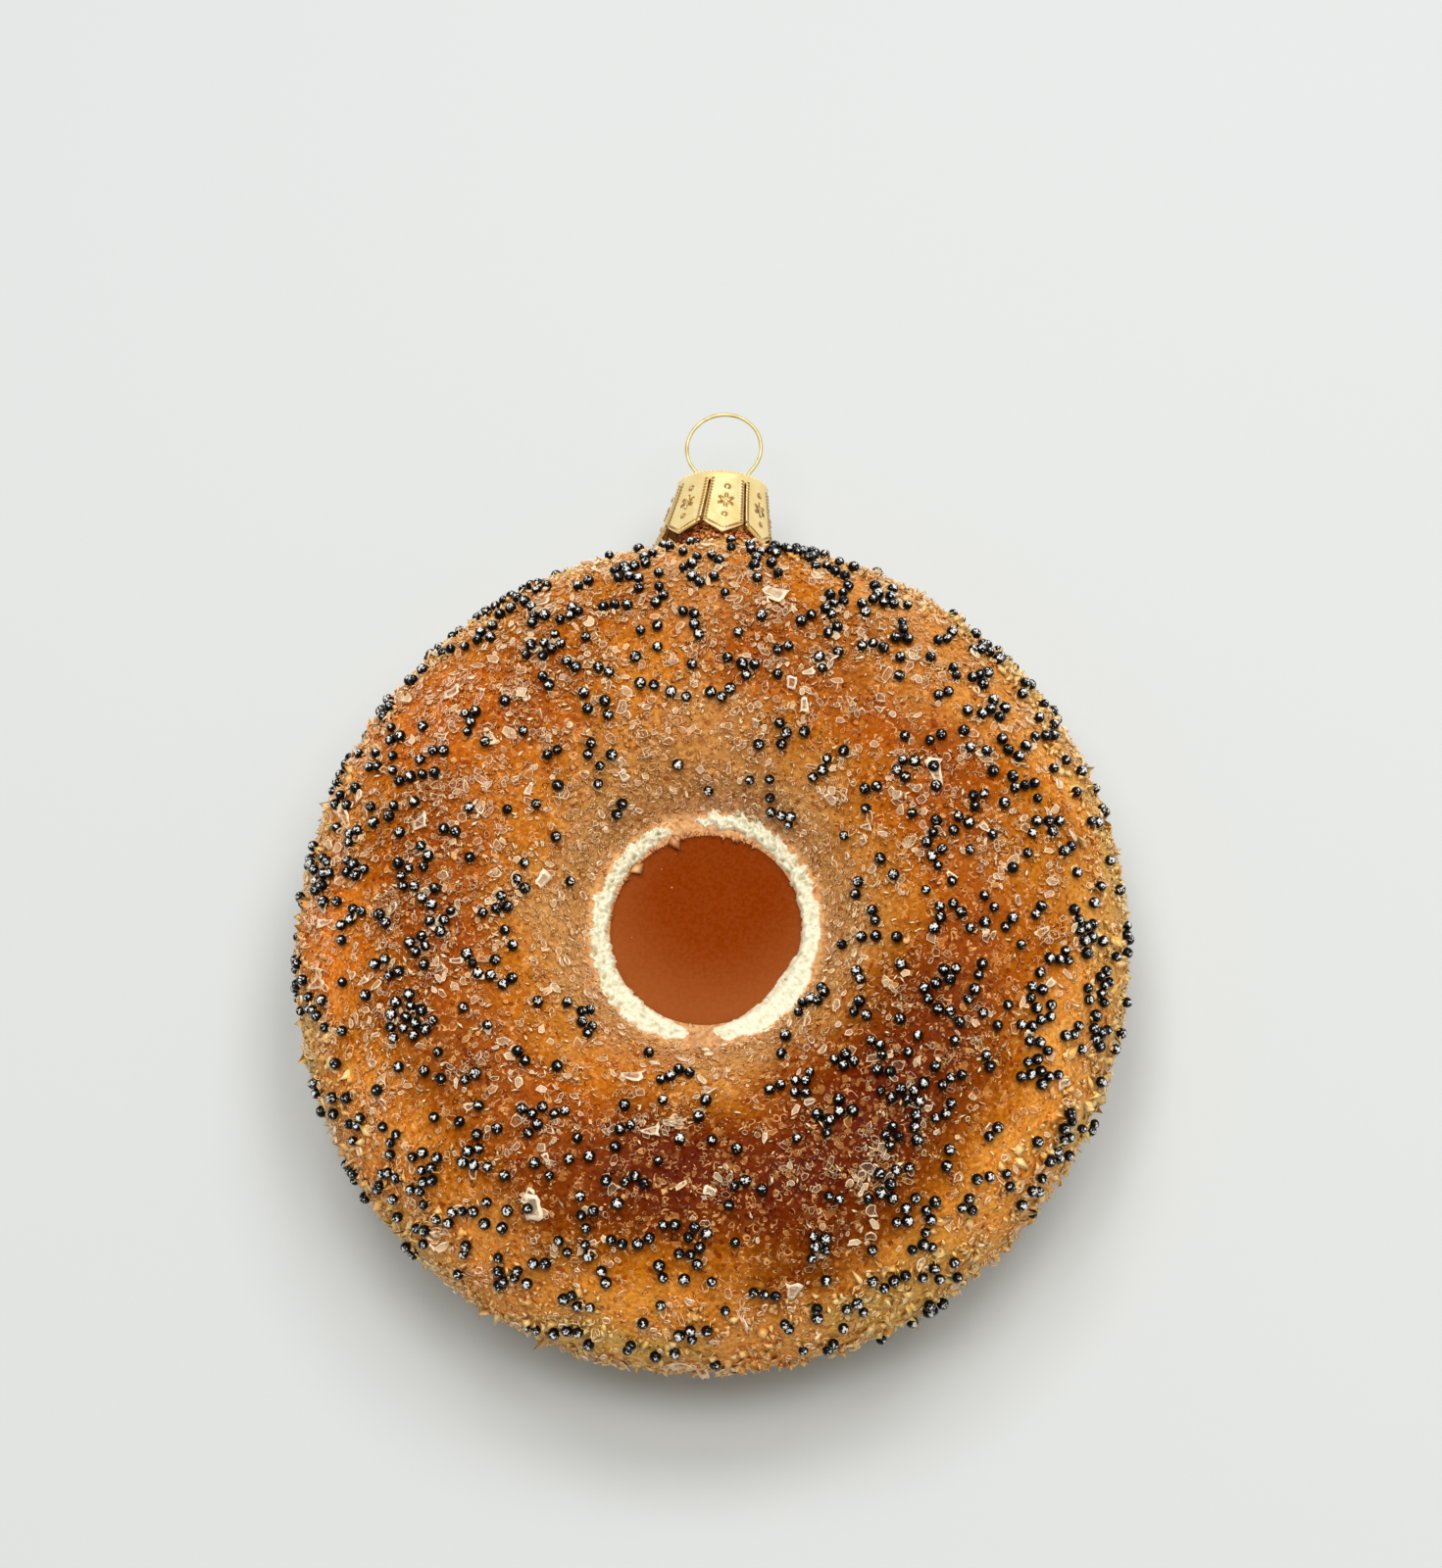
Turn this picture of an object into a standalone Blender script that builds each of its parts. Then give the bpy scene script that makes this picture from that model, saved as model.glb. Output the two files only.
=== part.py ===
# Blown glass hanging ornament in the form of a poppy seed doughnut.
# It lies on its back: +Z is the seeded front and +Y points to the cap. Metres.
# The origin is at the bottom centre of the whole object's box.

import math
import random

import bmesh
import bpy
from mathutils import Matrix, Vector
from mathutils.bvhtree import BVHTree

# Glass body: a ring of elliptical section, wider on its inner side, closed in the middle by a web.
BODY_RADIUS = 0.0415  # to the middle of the crystal coat, at the widest
TUBE_HALF_WIDTH = 0.0153
TUBE_INNER_HALF_WIDTH = 0.0160  # from the crest in towards the web, a gentler slope
TUBE_HALF_HEIGHT = 0.0155
TUBE_RADIUS = BODY_RADIUS - TUBE_HALF_WIDTH  # of the circle through the section's centres
BODY_STRETCH = 1.030  # the mould is a little taller than wide
REST_FLAT = 0.0003  # ground off the back, where it lies
BODY_SEGMENTS = 72
TUBE_STEPS = 20

# Web and the thick paint round its edge
WEB_RADIUS = 0.00945
WEB_EDGE_HEIGHT = 0.0060  # above the middle plane
WEB_DISH = 0.0016  # how far the web's centre lies below its edge
RIM_RADIUS = 0.0117  # outer edge of the paint band
RIM_PROUD = 0.0006
RIM_UNEVEN = 0.00025
BACK_RIM_RADIUS = 0.0112  # where the back's inner slope meets its web

# Crystal coat with seeds
COAT_START = RIM_RADIUS + 0.0014
COAT_END = math.radians(-12)  # tube angle behind the widest circle where the coat stops
COAT_UNEVEN = 0.00016
COAT_CLEAR_OF_NECK = 0.0085
SPREAD_STEPS = 200  # fineness of the even spread over the coat
SPREAD_JITTER = 0.3  # share of the distance to the next place
TURN_JITTER = 0.05
BEAD_RADIUS = 0.00052
BEAD_SUNK = 0.3
BEAD_COUNT = 116
SHARD_HALF_SIZE = (0.0013, 0.0008, 0.0006)
SHARD_COUNT = 50
SHARD_REACH = 0.00065  # farthest that a shard stands out of the coat
SHARD_SLANT = 0.4
SHARD_DENT = 0.75  # how far in a shard's corners may be

# Neck, a tube under the cap
NECK_RADIUS = 0.0037
NECK_FOOT_RADIUS = 0.0047
NECK_FOOT_RISE = 0.0026  # height of the widened foot above the body
NECK_ROOT = 0.0040  # how deep the neck is set in the body
NECK_LIP = 0.0003  # bevel at the neck's mouth
NECK_BORE = 0.0029
NECK_BORE_DEPTH = 0.0075
NECK_SEGMENTS = 36
GAP = 0.0003  # between pieces that touch

# Stamped cap
CAP_TOP = 0.05035  # from the body's centre
CAP_HEIGHT = 0.0075
CAP_SHEET = 0.00028
CAP_TOP_RADIUS = 0.0047
CAP_FOOT_RADIUS = 0.0062
CAP_DOME = 0.00025
CAP_EDGE = 0.0003  # rounding of the top edge
CAP_COLLAR = 0.0011  # plain band above the slots
CAP_PETALS = 8
CAP_TURN = math.radians(12.5)
CAP_LEAN = math.radians(2)  # the cap sits a little askew, its top towards +X
CAP_SLANT = 0.07  # how far its foot is pushed towards -X, for each metre down
CAP_POINT = 0.0014  # how far a petal's point hangs below its shoulders
SLOT_TOP = 0.00022
SLOT_FOOT = 0.00042
CAP_SEGMENTS = 48

# Hanger ring of sprung wire
WIRE_RADIUS = 0.0002
LOOP_RADIUS = 0.0039  # to the wire's centre
LOOP_RISE = 0.00455  # loop's centre above the cap's rim
LOOP_OPENING = math.radians(52)  # half the arc left open at the bottom
LEG_SPREAD = 0.0023
LEG_EASE = 0.0010  # how softly a leg bends at its ends
LEG_DEPTH = 0.0055
WIRE_HOLE = WIRE_RADIUS + 0.00035
LOOP_STEPS = 32
LEG_STEPS = 6

# The body's centre, which puts the whole object's box on the origin
MIDDLE_HEIGHT = TUBE_HALF_HEIGHT - REST_FLAT
BODY_SHIFT = -0.0080


def clear_scene():
    for item in list(bpy.data.objects):
        bpy.data.objects.remove(item)


def material(name, colour, roughness, metallic=0.0):
    made = bpy.data.materials.new(name)
    made.use_nodes = True
    shader = made.node_tree.nodes["Principled BSDF"]
    shader.inputs["Base Color"].default_value = (*colour, 1.0)
    shader.inputs["Roughness"].default_value = roughness
    shader.inputs["Metallic"].default_value = metallic
    return made


def add_object(name, mesh, finish=None, parent=None):
    made = bpy.data.objects.new(name, mesh)
    bpy.context.scene.collection.objects.link(made)
    made.parent = parent
    if finish:
        mesh.materials.clear()
        mesh.materials.append(finish)
    return made


def to_mesh(name, bm):
    mesh = bpy.data.meshes.new(name)
    bm.to_mesh(mesh)
    bm.free()
    return mesh


def turned(outline, segments):
    """A solid turned about Z from (radius, height) points, which start and end on the axis or close."""
    bm = bmesh.new()
    points = [bm.verts.new((radius, 0.0, height)) for radius, height in outline]
    edges = [bm.edges.new(pair) for pair in zip(points, points[1:])]
    bmesh.ops.spin(
        bm,
        geom=points + edges,
        cent=(0, 0, 0),
        axis=(0, 0, 1),
        angle=math.tau,
        steps=segments,
        use_merge=True,
    )
    bmesh.ops.remove_doubles(bm, verts=bm.verts, dist=1e-6)
    bmesh.ops.recalc_face_normals(bm, faces=bm.faces)
    return bm


def combine(target, others, operation):
    """Joins or cuts the target with all the others in one Boolean, applies it and removes them."""
    group = bpy.data.collections.new("operands")
    bpy.context.scene.collection.children.link(group)
    for item in others:
        bpy.context.scene.collection.objects.unlink(item)
        group.objects.link(item)
    step = target.modifiers.new("combine", "BOOLEAN")
    step.operand_type = "COLLECTION"
    step.collection = group
    step.operation = operation
    step.solver = "EXACT"
    graph = bpy.context.evaluated_depsgraph_get()
    result = bpy.data.meshes.new_from_object(target.evaluated_get(graph))
    target.modifiers.remove(step)
    target.data = result
    for item in others:
        bpy.data.objects.remove(item)
    bpy.data.collections.remove(group)


def smooth(item, sharp=math.radians(40)):
    item.data.shade_smooth()
    item.data.set_sharp_from_angle(angle=sharp)


def half_width(angle):
    """Half the section's width on the side, outer or inner, that this angle is on."""
    return TUBE_HALF_WIDTH if math.cos(angle) > 0 else TUBE_INNER_HALF_WIDTH


def tube_point(angle):
    """Radius and height of the ring's section, from the widest circle (0) over the crest (90 degrees)."""
    radius = TUBE_RADIUS + half_width(angle) * math.cos(angle)
    return radius, TUBE_HALF_HEIGHT * math.sin(angle)


def tube_angle(radius):
    """The angle on the front, inside the crest, where the section has this radius."""
    return math.acos((radius - TUBE_RADIUS) / TUBE_INNER_HALF_WIDTH)


def web_points():
    """From the web's centre to its edge, a shallow dish."""
    shares = (0.0, 0.35, 0.68, 0.92, 1.0)
    low = WEB_EDGE_HEIGHT - WEB_DISH
    return [(share * WEB_RADIUS, low + WEB_DISH * share**2) for share in shares]


def rim_points():
    """The rounded paint band, from the web's edge up to the ring's inner slope."""
    slope = tube_point(tube_angle(RIM_RADIUS))[1]
    band = RIM_RADIUS - WEB_RADIUS
    shares = (0.18, 0.45, 0.75)
    rise = slope - WEB_EDGE_HEIGHT
    return [
        (
            WEB_RADIUS + band * share,
            WEB_EDGE_HEIGHT + rise * share + RIM_PROUD * math.sin(math.pi * share**0.6),
        )
        for share in shares
    ]


def body_outline():
    """The whole section, from the front web's centre round to the back web's centre."""
    start = tube_angle(RIM_RADIUS)
    back_end = -tube_angle(BACK_RIM_RADIUS)
    angles = [start + (back_end - start) * step / TUBE_STEPS for step in range(TUBE_STEPS + 1)]
    ring = [tube_point(angle) for angle in angles]
    back = [(radius, -height) for radius, height in reversed(web_points())]
    return web_points() + rim_points() + ring + back


def coat_surface(angle, turn):
    """Point and outward direction on the coat, at a tube angle and a turn about the body's axis."""
    radius, height = tube_point(angle)
    out = Vector((math.cos(angle) / half_width(angle), 0, math.sin(angle) / TUBE_HALF_HEIGHT))
    about = Matrix.Rotation(turn, 3, "Z")
    stretch = Vector((1, BODY_STRETCH, 1))
    point = about @ Vector((radius, 0, height))
    return point * stretch, (about @ out.normalized())


def clear_of_neck(point):
    return point.y < 0 or math.hypot(point.x, point.z) > COAT_CLEAR_OF_NECK


def even_places(count, rng):
    """Tube angles and turns spread evenly over the coat's area, by the golden angle with a small jitter."""
    start = tube_angle(COAT_START)
    share = (COAT_END - start) / SPREAD_STEPS
    angles = [start + share * step for step in range(SPREAD_STEPS + 1)]
    reach = [0.0]
    for one, two in zip(angles, angles[1:]):
        middle = tube_point((one + two) / 2)[0]
        run = math.dist(tube_point(one), tube_point(two))
        reach.append(reach[-1] + middle * run)
    golden = math.pi * (3 - math.sqrt(5))
    places = []
    for index in range(count):
        wanted = (index + 0.5 + rng.uniform(-SPREAD_JITTER, SPREAD_JITTER)) / count * reach[-1]
        step = next(i for i, value in enumerate(reach) if value >= wanted)
        places.append((angles[step], index * golden + rng.uniform(-TURN_JITTER, TURN_JITTER)))
    return places


def bead(point, out):
    """A round seed, sunk a little into the coat."""
    bm = bmesh.new()
    bmesh.ops.create_icosphere(bm, subdivisions=1, radius=BEAD_RADIUS)
    spot = point + out * BEAD_RADIUS * (1 - 2 * BEAD_SUNK)
    bmesh.ops.translate(bm, verts=bm.verts, vec=spot)
    return add_object("bead", to_mesh("bead", bm))


def shard(point, out, rng):
    """A broken crystal lying at a slant in the coat."""
    bm = bmesh.new()
    bmesh.ops.create_icosphere(bm, subdivisions=1, radius=1.0)
    for vert in bm.verts:
        vert.co *= rng.uniform(SHARD_DENT, 1.0)
    size = rng.uniform(0.7, 1.0)
    bmesh.ops.scale(bm, verts=bm.verts, vec=Vector(SHARD_HALF_SIZE) * size)
    face = out.to_track_quat("Z", "Y").to_matrix()
    slant = Matrix.Rotation(rng.uniform(-SHARD_SLANT, SHARD_SLANT), 3, "Y")
    spin = Matrix.Rotation(rng.uniform(0, math.tau), 3, "Z")
    bmesh.ops.rotate(bm, verts=bm.verts, matrix=face @ spin @ slant)
    highest = max(vert.co.dot(out) for vert in bm.verts)
    lift = min(0.0, SHARD_REACH - highest)
    bmesh.ops.translate(bm, verts=bm.verts, vec=point + out * lift)
    return add_object("shard", to_mesh("shard", bm))


def toppings(body):
    """Shards and beads, each set on the body's own faceted surface."""
    rng = random.Random(11)
    surface = BVHTree.FromObject(body, bpy.context.evaluated_depsgraph_get())
    places = even_places(BEAD_COUNT + SHARD_COUNT, rng)
    rng.shuffle(places)
    made = []
    for index, place in enumerate(places):
        ideal, out = coat_surface(*place)
        point = surface.find_nearest(ideal)[0]
        if clear_of_neck(point):
            made.append(shard(point, out, rng) if index < SHARD_COUNT else bead(point, out))
    return made


def roughen(bm):
    """Small seeded unevenness: the coat outwards, the paint band up and down."""
    rng = random.Random(4)
    bm.normal_update()
    rim_top = tube_point(tube_angle(RIM_RADIUS))[1]
    coat_foot = tube_point(COAT_END)[1]
    for vert in bm.verts:
        radius = math.hypot(vert.co.x, vert.co.y)
        if WEB_RADIUS * 1.02 < radius <= RIM_RADIUS * 1.001 and 0 < vert.co.z <= rim_top * 1.3:
            vert.co.z += rng.uniform(-RIM_UNEVEN, RIM_UNEVEN)
        elif radius > RIM_RADIUS and vert.co.z > coat_foot and clear_of_neck(vert.co):
            vert.co += vert.normal * rng.uniform(-COAT_UNEVEN, COAT_UNEVEN)


def neck_top():
    """Clear of the cap's plate, which leans."""
    return CAP_TOP - CAP_SHEET - GAP - NECK_RADIUS * math.sin(CAP_LEAN)


def neck():
    """The glass neck with its widened foot, made up +Z and turned to +Y. Its bore is cut later."""
    top = neck_top()
    foot = BODY_RADIUS * BODY_STRETCH
    outline = [
        (0.0, foot - NECK_ROOT),
        (NECK_FOOT_RADIUS * 1.05, foot - NECK_ROOT),
        (NECK_FOOT_RADIUS, foot),
        (NECK_RADIUS + (NECK_FOOT_RADIUS - NECK_RADIUS) * 0.35, foot + NECK_FOOT_RISE * 0.5),
        (NECK_RADIUS, foot + NECK_FOOT_RISE),
        (NECK_RADIUS, top - NECK_LIP),
        (NECK_RADIUS - NECK_LIP, top),
        (0.0, top),
    ]
    bm = turned(outline, NECK_SEGMENTS)
    bmesh.ops.rotate(bm, verts=bm.verts, matrix=Matrix.Rotation(-math.pi / 2, 3, "X"))
    return add_object("neck", to_mesh("neck", bm))


def neck_bore():
    """Cuts the bore down the neck into the body."""
    bm = bmesh.new()
    bmesh.ops.create_cone(
        bm,
        cap_ends=True,
        segments=NECK_SEGMENTS,
        radius1=NECK_BORE,
        radius2=NECK_BORE,
        depth=NECK_BORE_DEPTH * 2,
    )
    bmesh.ops.rotate(bm, verts=bm.verts, matrix=Matrix.Rotation(-math.pi / 2, 3, "X"))
    bmesh.ops.translate(bm, verts=bm.verts, vec=(0, neck_top(), 0))
    return add_object("bore", to_mesh("bore", bm))


def rest_cutter():
    """Grinds the small flat on the back that the object lies on."""
    size = BODY_RADIUS * 3
    bm = bmesh.new()
    bmesh.ops.create_cube(bm, size=size)
    bmesh.ops.translate(bm, verts=bm.verts, vec=(0, 0, -MIDDLE_HEIGHT - size / 2))
    return add_object("rest_cutter", to_mesh("rest_cutter", bm))


def glass_body(centre):
    bm = turned(body_outline(), BODY_SEGMENTS)
    roughen(bm)
    bmesh.ops.scale(bm, verts=bm.verts, vec=(1, BODY_STRETCH, 1))
    finish = material("painted_coat", (0.50, 0.18, 0.045), 0.45)
    body = add_object("glass_body", to_mesh("glass_body", bm), finish)
    combine(body, [neck()], "UNION")
    combine(body, [neck_bore(), rest_cutter()], "DIFFERENCE")
    combine(body, toppings(body), "UNION")
    body.parent = centre
    body.data.materials.clear()
    body.data.materials.append(finish)
    smooth(body)
    return body


def cap_outline():
    """Outer side of the cap from its domed top to its foot, then the inner side back."""
    lean = CAP_FOOT_RADIUS - CAP_TOP_RADIUS
    drops = (CAP_EDGE, CAP_COLLAR, CAP_HEIGHT * 0.5, CAP_HEIGHT * 0.8, CAP_HEIGHT)
    wall = [(CAP_TOP_RADIUS + lean * (drop / CAP_HEIGHT) ** 1.2, -drop) for drop in drops]
    top = [(0.0, CAP_DOME), (CAP_TOP_RADIUS * 0.5, CAP_DOME * 0.8), (CAP_TOP_RADIUS * 0.93, 0.0)]
    inner_top = [
        (CAP_TOP_RADIUS - CAP_SHEET, -CAP_SHEET),
        (CAP_TOP_RADIUS * 0.5, CAP_DOME * 0.8 - CAP_SHEET),
        (0.0, CAP_DOME - CAP_SHEET),
    ]
    inner = [(radius - CAP_SHEET, height) for radius, height in reversed(wall)]
    return top + wall + inner[:-1] + inner_top


def slot_cutter(turn):
    """Cuts one slot between two petals and the notch that leaves them pointed."""
    shoulder = CAP_HEIGHT - CAP_POINT
    half_petal = CAP_FOOT_RADIUS * math.tan(math.pi / CAP_PETALS)
    side = [
        (SLOT_TOP / 2, -CAP_COLLAR),
        (SLOT_FOOT / 2, -shoulder),
        (half_petal, -CAP_HEIGHT),
        (half_petal, -CAP_HEIGHT - CAP_POINT),
    ]
    outline = side + [(-across, down) for across, down in reversed(side)]
    bm = bmesh.new()
    corners = [bm.verts.new((across, CAP_TOP_RADIUS * 0.6, down)) for across, down in outline]
    face = bm.faces.new(corners)
    grown = bmesh.ops.extrude_face_region(bm, geom=[face])
    moved = [item for item in grown["geom"] if isinstance(item, bmesh.types.BMVert)]
    bmesh.ops.translate(bm, verts=moved, vec=(0, CAP_FOOT_RADIUS, 0))
    bmesh.ops.recalc_face_normals(bm, faces=bm.faces)
    bmesh.ops.rotate(bm, verts=bm.verts, matrix=Matrix.Rotation(turn, 3, "Z"))
    return add_object("slot_cutter", to_mesh("slot_cutter", bm))


def hole_cutter(x):
    """Cuts the hole that a leg of the wire goes through."""
    bm = bmesh.new()
    bmesh.ops.create_cone(
        bm, cap_ends=True, segments=16, radius1=WIRE_HOLE, radius2=WIRE_HOLE, depth=CAP_COLLAR * 2
    )
    bmesh.ops.translate(bm, verts=bm.verts, vec=(x, 0, 0))
    return add_object("hole_cutter", to_mesh("hole_cutter", bm))


def stamped_cap(centre):
    finish = material("stamped_gold", (0.83, 0.62, 0.28), 0.28, 1.0)
    cap = add_object("cap", to_mesh("cap", turned(cap_outline(), CAP_SEGMENTS)), finish)
    pitch = math.tau / CAP_PETALS
    # The legs' holes stay on the body's X axis when the petals are turned.
    first = CAP_TURN + pitch / 2
    cutters = [slot_cutter(first + pitch * index) for index in range(CAP_PETALS)]
    cutters += [hole_cutter(LEG_SPREAD), hole_cutter(-LEG_SPREAD)]
    combine(cap, cutters, "DIFFERENCE")
    for vert in cap.data.vertices:
        vert.co.x += vert.co.z * CAP_SLANT
    cap.data.materials.clear()
    cap.data.materials.append(finish)
    cap.parent = centre
    cap.location = (0, CAP_TOP, 0)
    cap.rotation_euler = (-math.pi / 2, 0, -CAP_LEAN)
    smooth(cap)
    return cap


def leg_points():
    """From the loop's open end down through the cap, for +X. Heights are from the cap's rim."""
    end = Vector((LOOP_RADIUS * math.sin(LOOP_OPENING), LOOP_RISE - LOOP_RADIUS * math.cos(LOOP_OPENING)))
    heading = Vector((-math.cos(LOOP_OPENING), -math.sin(LOOP_OPENING)))
    foot = Vector((LEG_SPREAD, 0.0))
    points = []
    for step in range(1, LEG_STEPS + 1):
        share = step / LEG_STEPS
        near_end = end + heading * LEG_EASE
        near_foot = foot + Vector((0, LEG_EASE))
        left = 1 - share
        points.append(
            end * left**3
            + near_end * 3 * left**2 * share
            + near_foot * 3 * left * share**2
            + foot * share**3
        )
    points.append(Vector((LEG_SPREAD, -LEG_DEPTH)))
    return points


def hanger_ring(centre):
    turn_left = math.tau - 2 * LOOP_OPENING
    angles = [LOOP_OPENING + turn_left * step / LOOP_STEPS for step in range(LOOP_STEPS + 1)]
    loop = [
        Vector((LOOP_RADIUS * math.sin(angle), LOOP_RISE - LOOP_RADIUS * math.cos(angle)))
        for angle in angles
    ]
    leg = leg_points()
    route = list(reversed(leg)) + loop + [Vector((-point.x, point.y)) for point in leg]
    curve = bpy.data.curves.new("hanger_ring", "CURVE")
    curve.dimensions = "3D"
    curve.bevel_depth = WIRE_RADIUS
    curve.bevel_resolution = 2
    curve.use_fill_caps = True
    spline = curve.splines.new("POLY")
    spline.points.add(len(route) - 1)
    for knot, place in zip(spline.points, route):
        knot.co = (place.x, place.y, 0, 1)
    finish = material("gold_wire", (0.72, 0.58, 0.32), 0.3, 1.0)
    ring = add_object("hanger_ring", curve, finish, centre)
    ring.location = (0, CAP_TOP, 0)
    return ring


def main():
    clear_scene()
    centre = bpy.data.objects.new("ornament", None)
    bpy.context.scene.collection.objects.link(centre)
    centre.location = (0, BODY_SHIFT, MIDDLE_HEIGHT)
    glass_body(centre)
    stamped_cap(centre)
    hanger_ring(centre)


main()
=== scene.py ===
import math

import bmesh
import bpy
import numpy as np
from mathutils import Matrix, Vector, noise


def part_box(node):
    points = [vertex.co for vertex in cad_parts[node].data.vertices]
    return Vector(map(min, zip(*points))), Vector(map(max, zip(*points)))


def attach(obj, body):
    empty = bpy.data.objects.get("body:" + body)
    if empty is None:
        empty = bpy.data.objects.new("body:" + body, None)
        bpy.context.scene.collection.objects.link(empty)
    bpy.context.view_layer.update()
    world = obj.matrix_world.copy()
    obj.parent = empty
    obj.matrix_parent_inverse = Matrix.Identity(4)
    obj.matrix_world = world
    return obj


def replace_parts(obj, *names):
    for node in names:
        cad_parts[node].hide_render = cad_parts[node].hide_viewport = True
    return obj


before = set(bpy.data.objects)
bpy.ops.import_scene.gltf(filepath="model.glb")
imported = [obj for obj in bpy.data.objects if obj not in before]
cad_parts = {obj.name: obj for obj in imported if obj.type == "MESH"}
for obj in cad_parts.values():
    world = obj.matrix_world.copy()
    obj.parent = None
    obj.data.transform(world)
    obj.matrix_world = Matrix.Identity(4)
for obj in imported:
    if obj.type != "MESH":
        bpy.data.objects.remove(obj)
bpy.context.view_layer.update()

mm = 0.001
upFromFront = Matrix.Rotation(-math.pi / 2, 3, "X")  # a form turned about Z then points to the cap, +Y

# the form of the solids, in millimetres from the body's centre
form = {
    "tubeRadius": 26.2,
    "halfWidth": 15.3,
    "innerHalfWidth": 16.0,
    "halfHeight": 15.5,
    "stretch": 1.03,
    "webRadius": 9.45,
    "webEdge": 6.0,
    "webDish": 1.6,
    "rimRadius": 11.7,
    "coatEnd": math.radians(-12),
    "capTop": 50.35,
    "loopTop": 59.0,
}

ringLow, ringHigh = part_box("hanger_ring")
centre = Vector(
    (
        (ringLow[0] + ringHigh[0]) / 2,
        ringHigh[1] - form["loopTop"] * mm,
        (ringLow[2] + ringHigh[2]) / 2,
    )
)
print("frame loaded, body centre", tuple(round(value, 4) for value in centre))


# helpers for pieces and materials


def link(name, data):
    thing = bpy.data.objects.new(name, data)
    bpy.context.scene.collection.objects.link(thing)
    return thing


def addPiece(name, mesh, material, smooth=False):
    piece = link(name, mesh)
    for one in material if isinstance(material, list) else [material]:
        mesh.materials.append(one)
    if smooth:
        mesh.shade_smooth()
    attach(piece, "root")
    return piece


def meshFrom(name, bm):
    mesh = bpy.data.meshes.new(name)
    bm.to_mesh(mesh)
    bm.free()
    return mesh


def placedMesh(name, bm):
    # from millimetres about the body's centre to metres in the scene
    bmesh.ops.scale(bm, verts=bm.verts, vec=(mm, mm, mm))
    bmesh.ops.translate(bm, verts=bm.verts, vec=centre)
    return meshFrom(name, bm)


def turned(outline, steps):
    bm = bmesh.new()
    points = [bm.verts.new((radius, 0, height)) for radius, height in outline]
    edges = [bm.edges.new(pair) for pair in zip(points, points[1:])]
    bmesh.ops.spin(
        bm,
        geom=points + edges,
        cent=(0, 0, 0),
        axis=(0, 0, 1),
        angle=math.tau,
        steps=steps,
        use_merge=True,
    )
    bmesh.ops.remove_doubles(bm, verts=bm.verts, dist=0.0005)
    bmesh.ops.recalc_face_normals(bm, faces=bm.faces)
    return bm


def polar(radius, turn, height):
    # arrays of points on circles about the body's axis
    return np.stack([radius * np.cos(turn), radius * np.sin(turn), height], axis=1)


def linear(*screen):
    parts = [value / 255 for value in screen]
    return [part / 12.92 if part <= 0.04045 else ((part + 0.055) / 1.055) ** 2.4 for part in parts] + [1]


class Nodes:
    # a small wrapper, so that a material reads as a list of steps
    def __init__(self, name):
        self.material = bpy.data.materials.new(name)
        self.material.use_nodes = True
        self.tree = self.material.node_tree
        self.shader = self.tree.nodes["Principled BSDF"]

    def put(self, socket, value):
        if isinstance(value, bpy.types.NodeSocket):
            self.tree.links.new(value, socket)
        else:
            socket.default_value = value

    def add(self, kind, **inputs):
        node = self.tree.nodes.new("ShaderNode" + kind)
        for key, value in inputs.items():
            self.put(node.inputs[key.replace("_", " ")], value)
        return node

    def math(self, operation, *values, clamp=False, kind="Math"):
        node = self.add(kind)
        node.operation = operation
        if clamp:
            node.use_clamp = True
        for socket, value in zip(node.inputs, values):
            self.put(socket, value)
        return node.outputs[0]

    def apart(self, where, place):
        node = self.math("DISTANCE", where, place, kind="VectorMath").node
        return node.outputs["Value"]

    def spread(self, value, low, high, toLow=0.0, toHigh=1.0):
        limits = {"From_Min": low, "From_Max": high, "To_Min": toLow, "To_Max": toHigh}
        node = self.add("MapRange", Value=value, **limits)
        node.interpolation_type = "SMOOTHSTEP"
        return node.outputs["Result"]

    def mix(self, factor, one, two, blend="MIX"):
        node = self.add("Mix", Factor=factor)
        node.data_type = "RGBA"
        node.blend_type = blend
        colours = [socket for socket in node.inputs if socket.type == "RGBA"]
        self.put(colours[0], one)
        self.put(colours[1], two)
        return [socket for socket in node.outputs if socket.type == "RGBA"][0]

    def places(self):
        # places on the piece in metres, from the body's centre
        mapping = self.add("Mapping", Vector=self.add("TexCoord").outputs["Object"])
        mapping.inputs["Location"].default_value = [-middle for middle in centre]
        return mapping.outputs["Vector"]

    def noise(self, vector, scale, detail=2.0):
        return self.add("TexNoise", Vector=vector, Scale=scale, Detail=detail).outputs["Fac"]

    def kept(self, name="tone", output="Fac"):
        # what the mesh keeps under this name: tone is one number for each copy of a shape
        node = self.add("Attribute")
        node.attribute_name = name
        return node.outputs[output]

    def bump(self, height, strength, distance):
        node = self.add("Bump", Strength=strength, Distance=distance, Height=height)
        self.put(self.shader.inputs["Normal"], node.outputs["Normal"])

    def set(self, **values):
        for key, value in values.items():
            self.put(self.shader.inputs[key.replace("_", " ")], value)


# sprayed paint: rings of colour from the middle out, then soft passes of the spray gun

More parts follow.
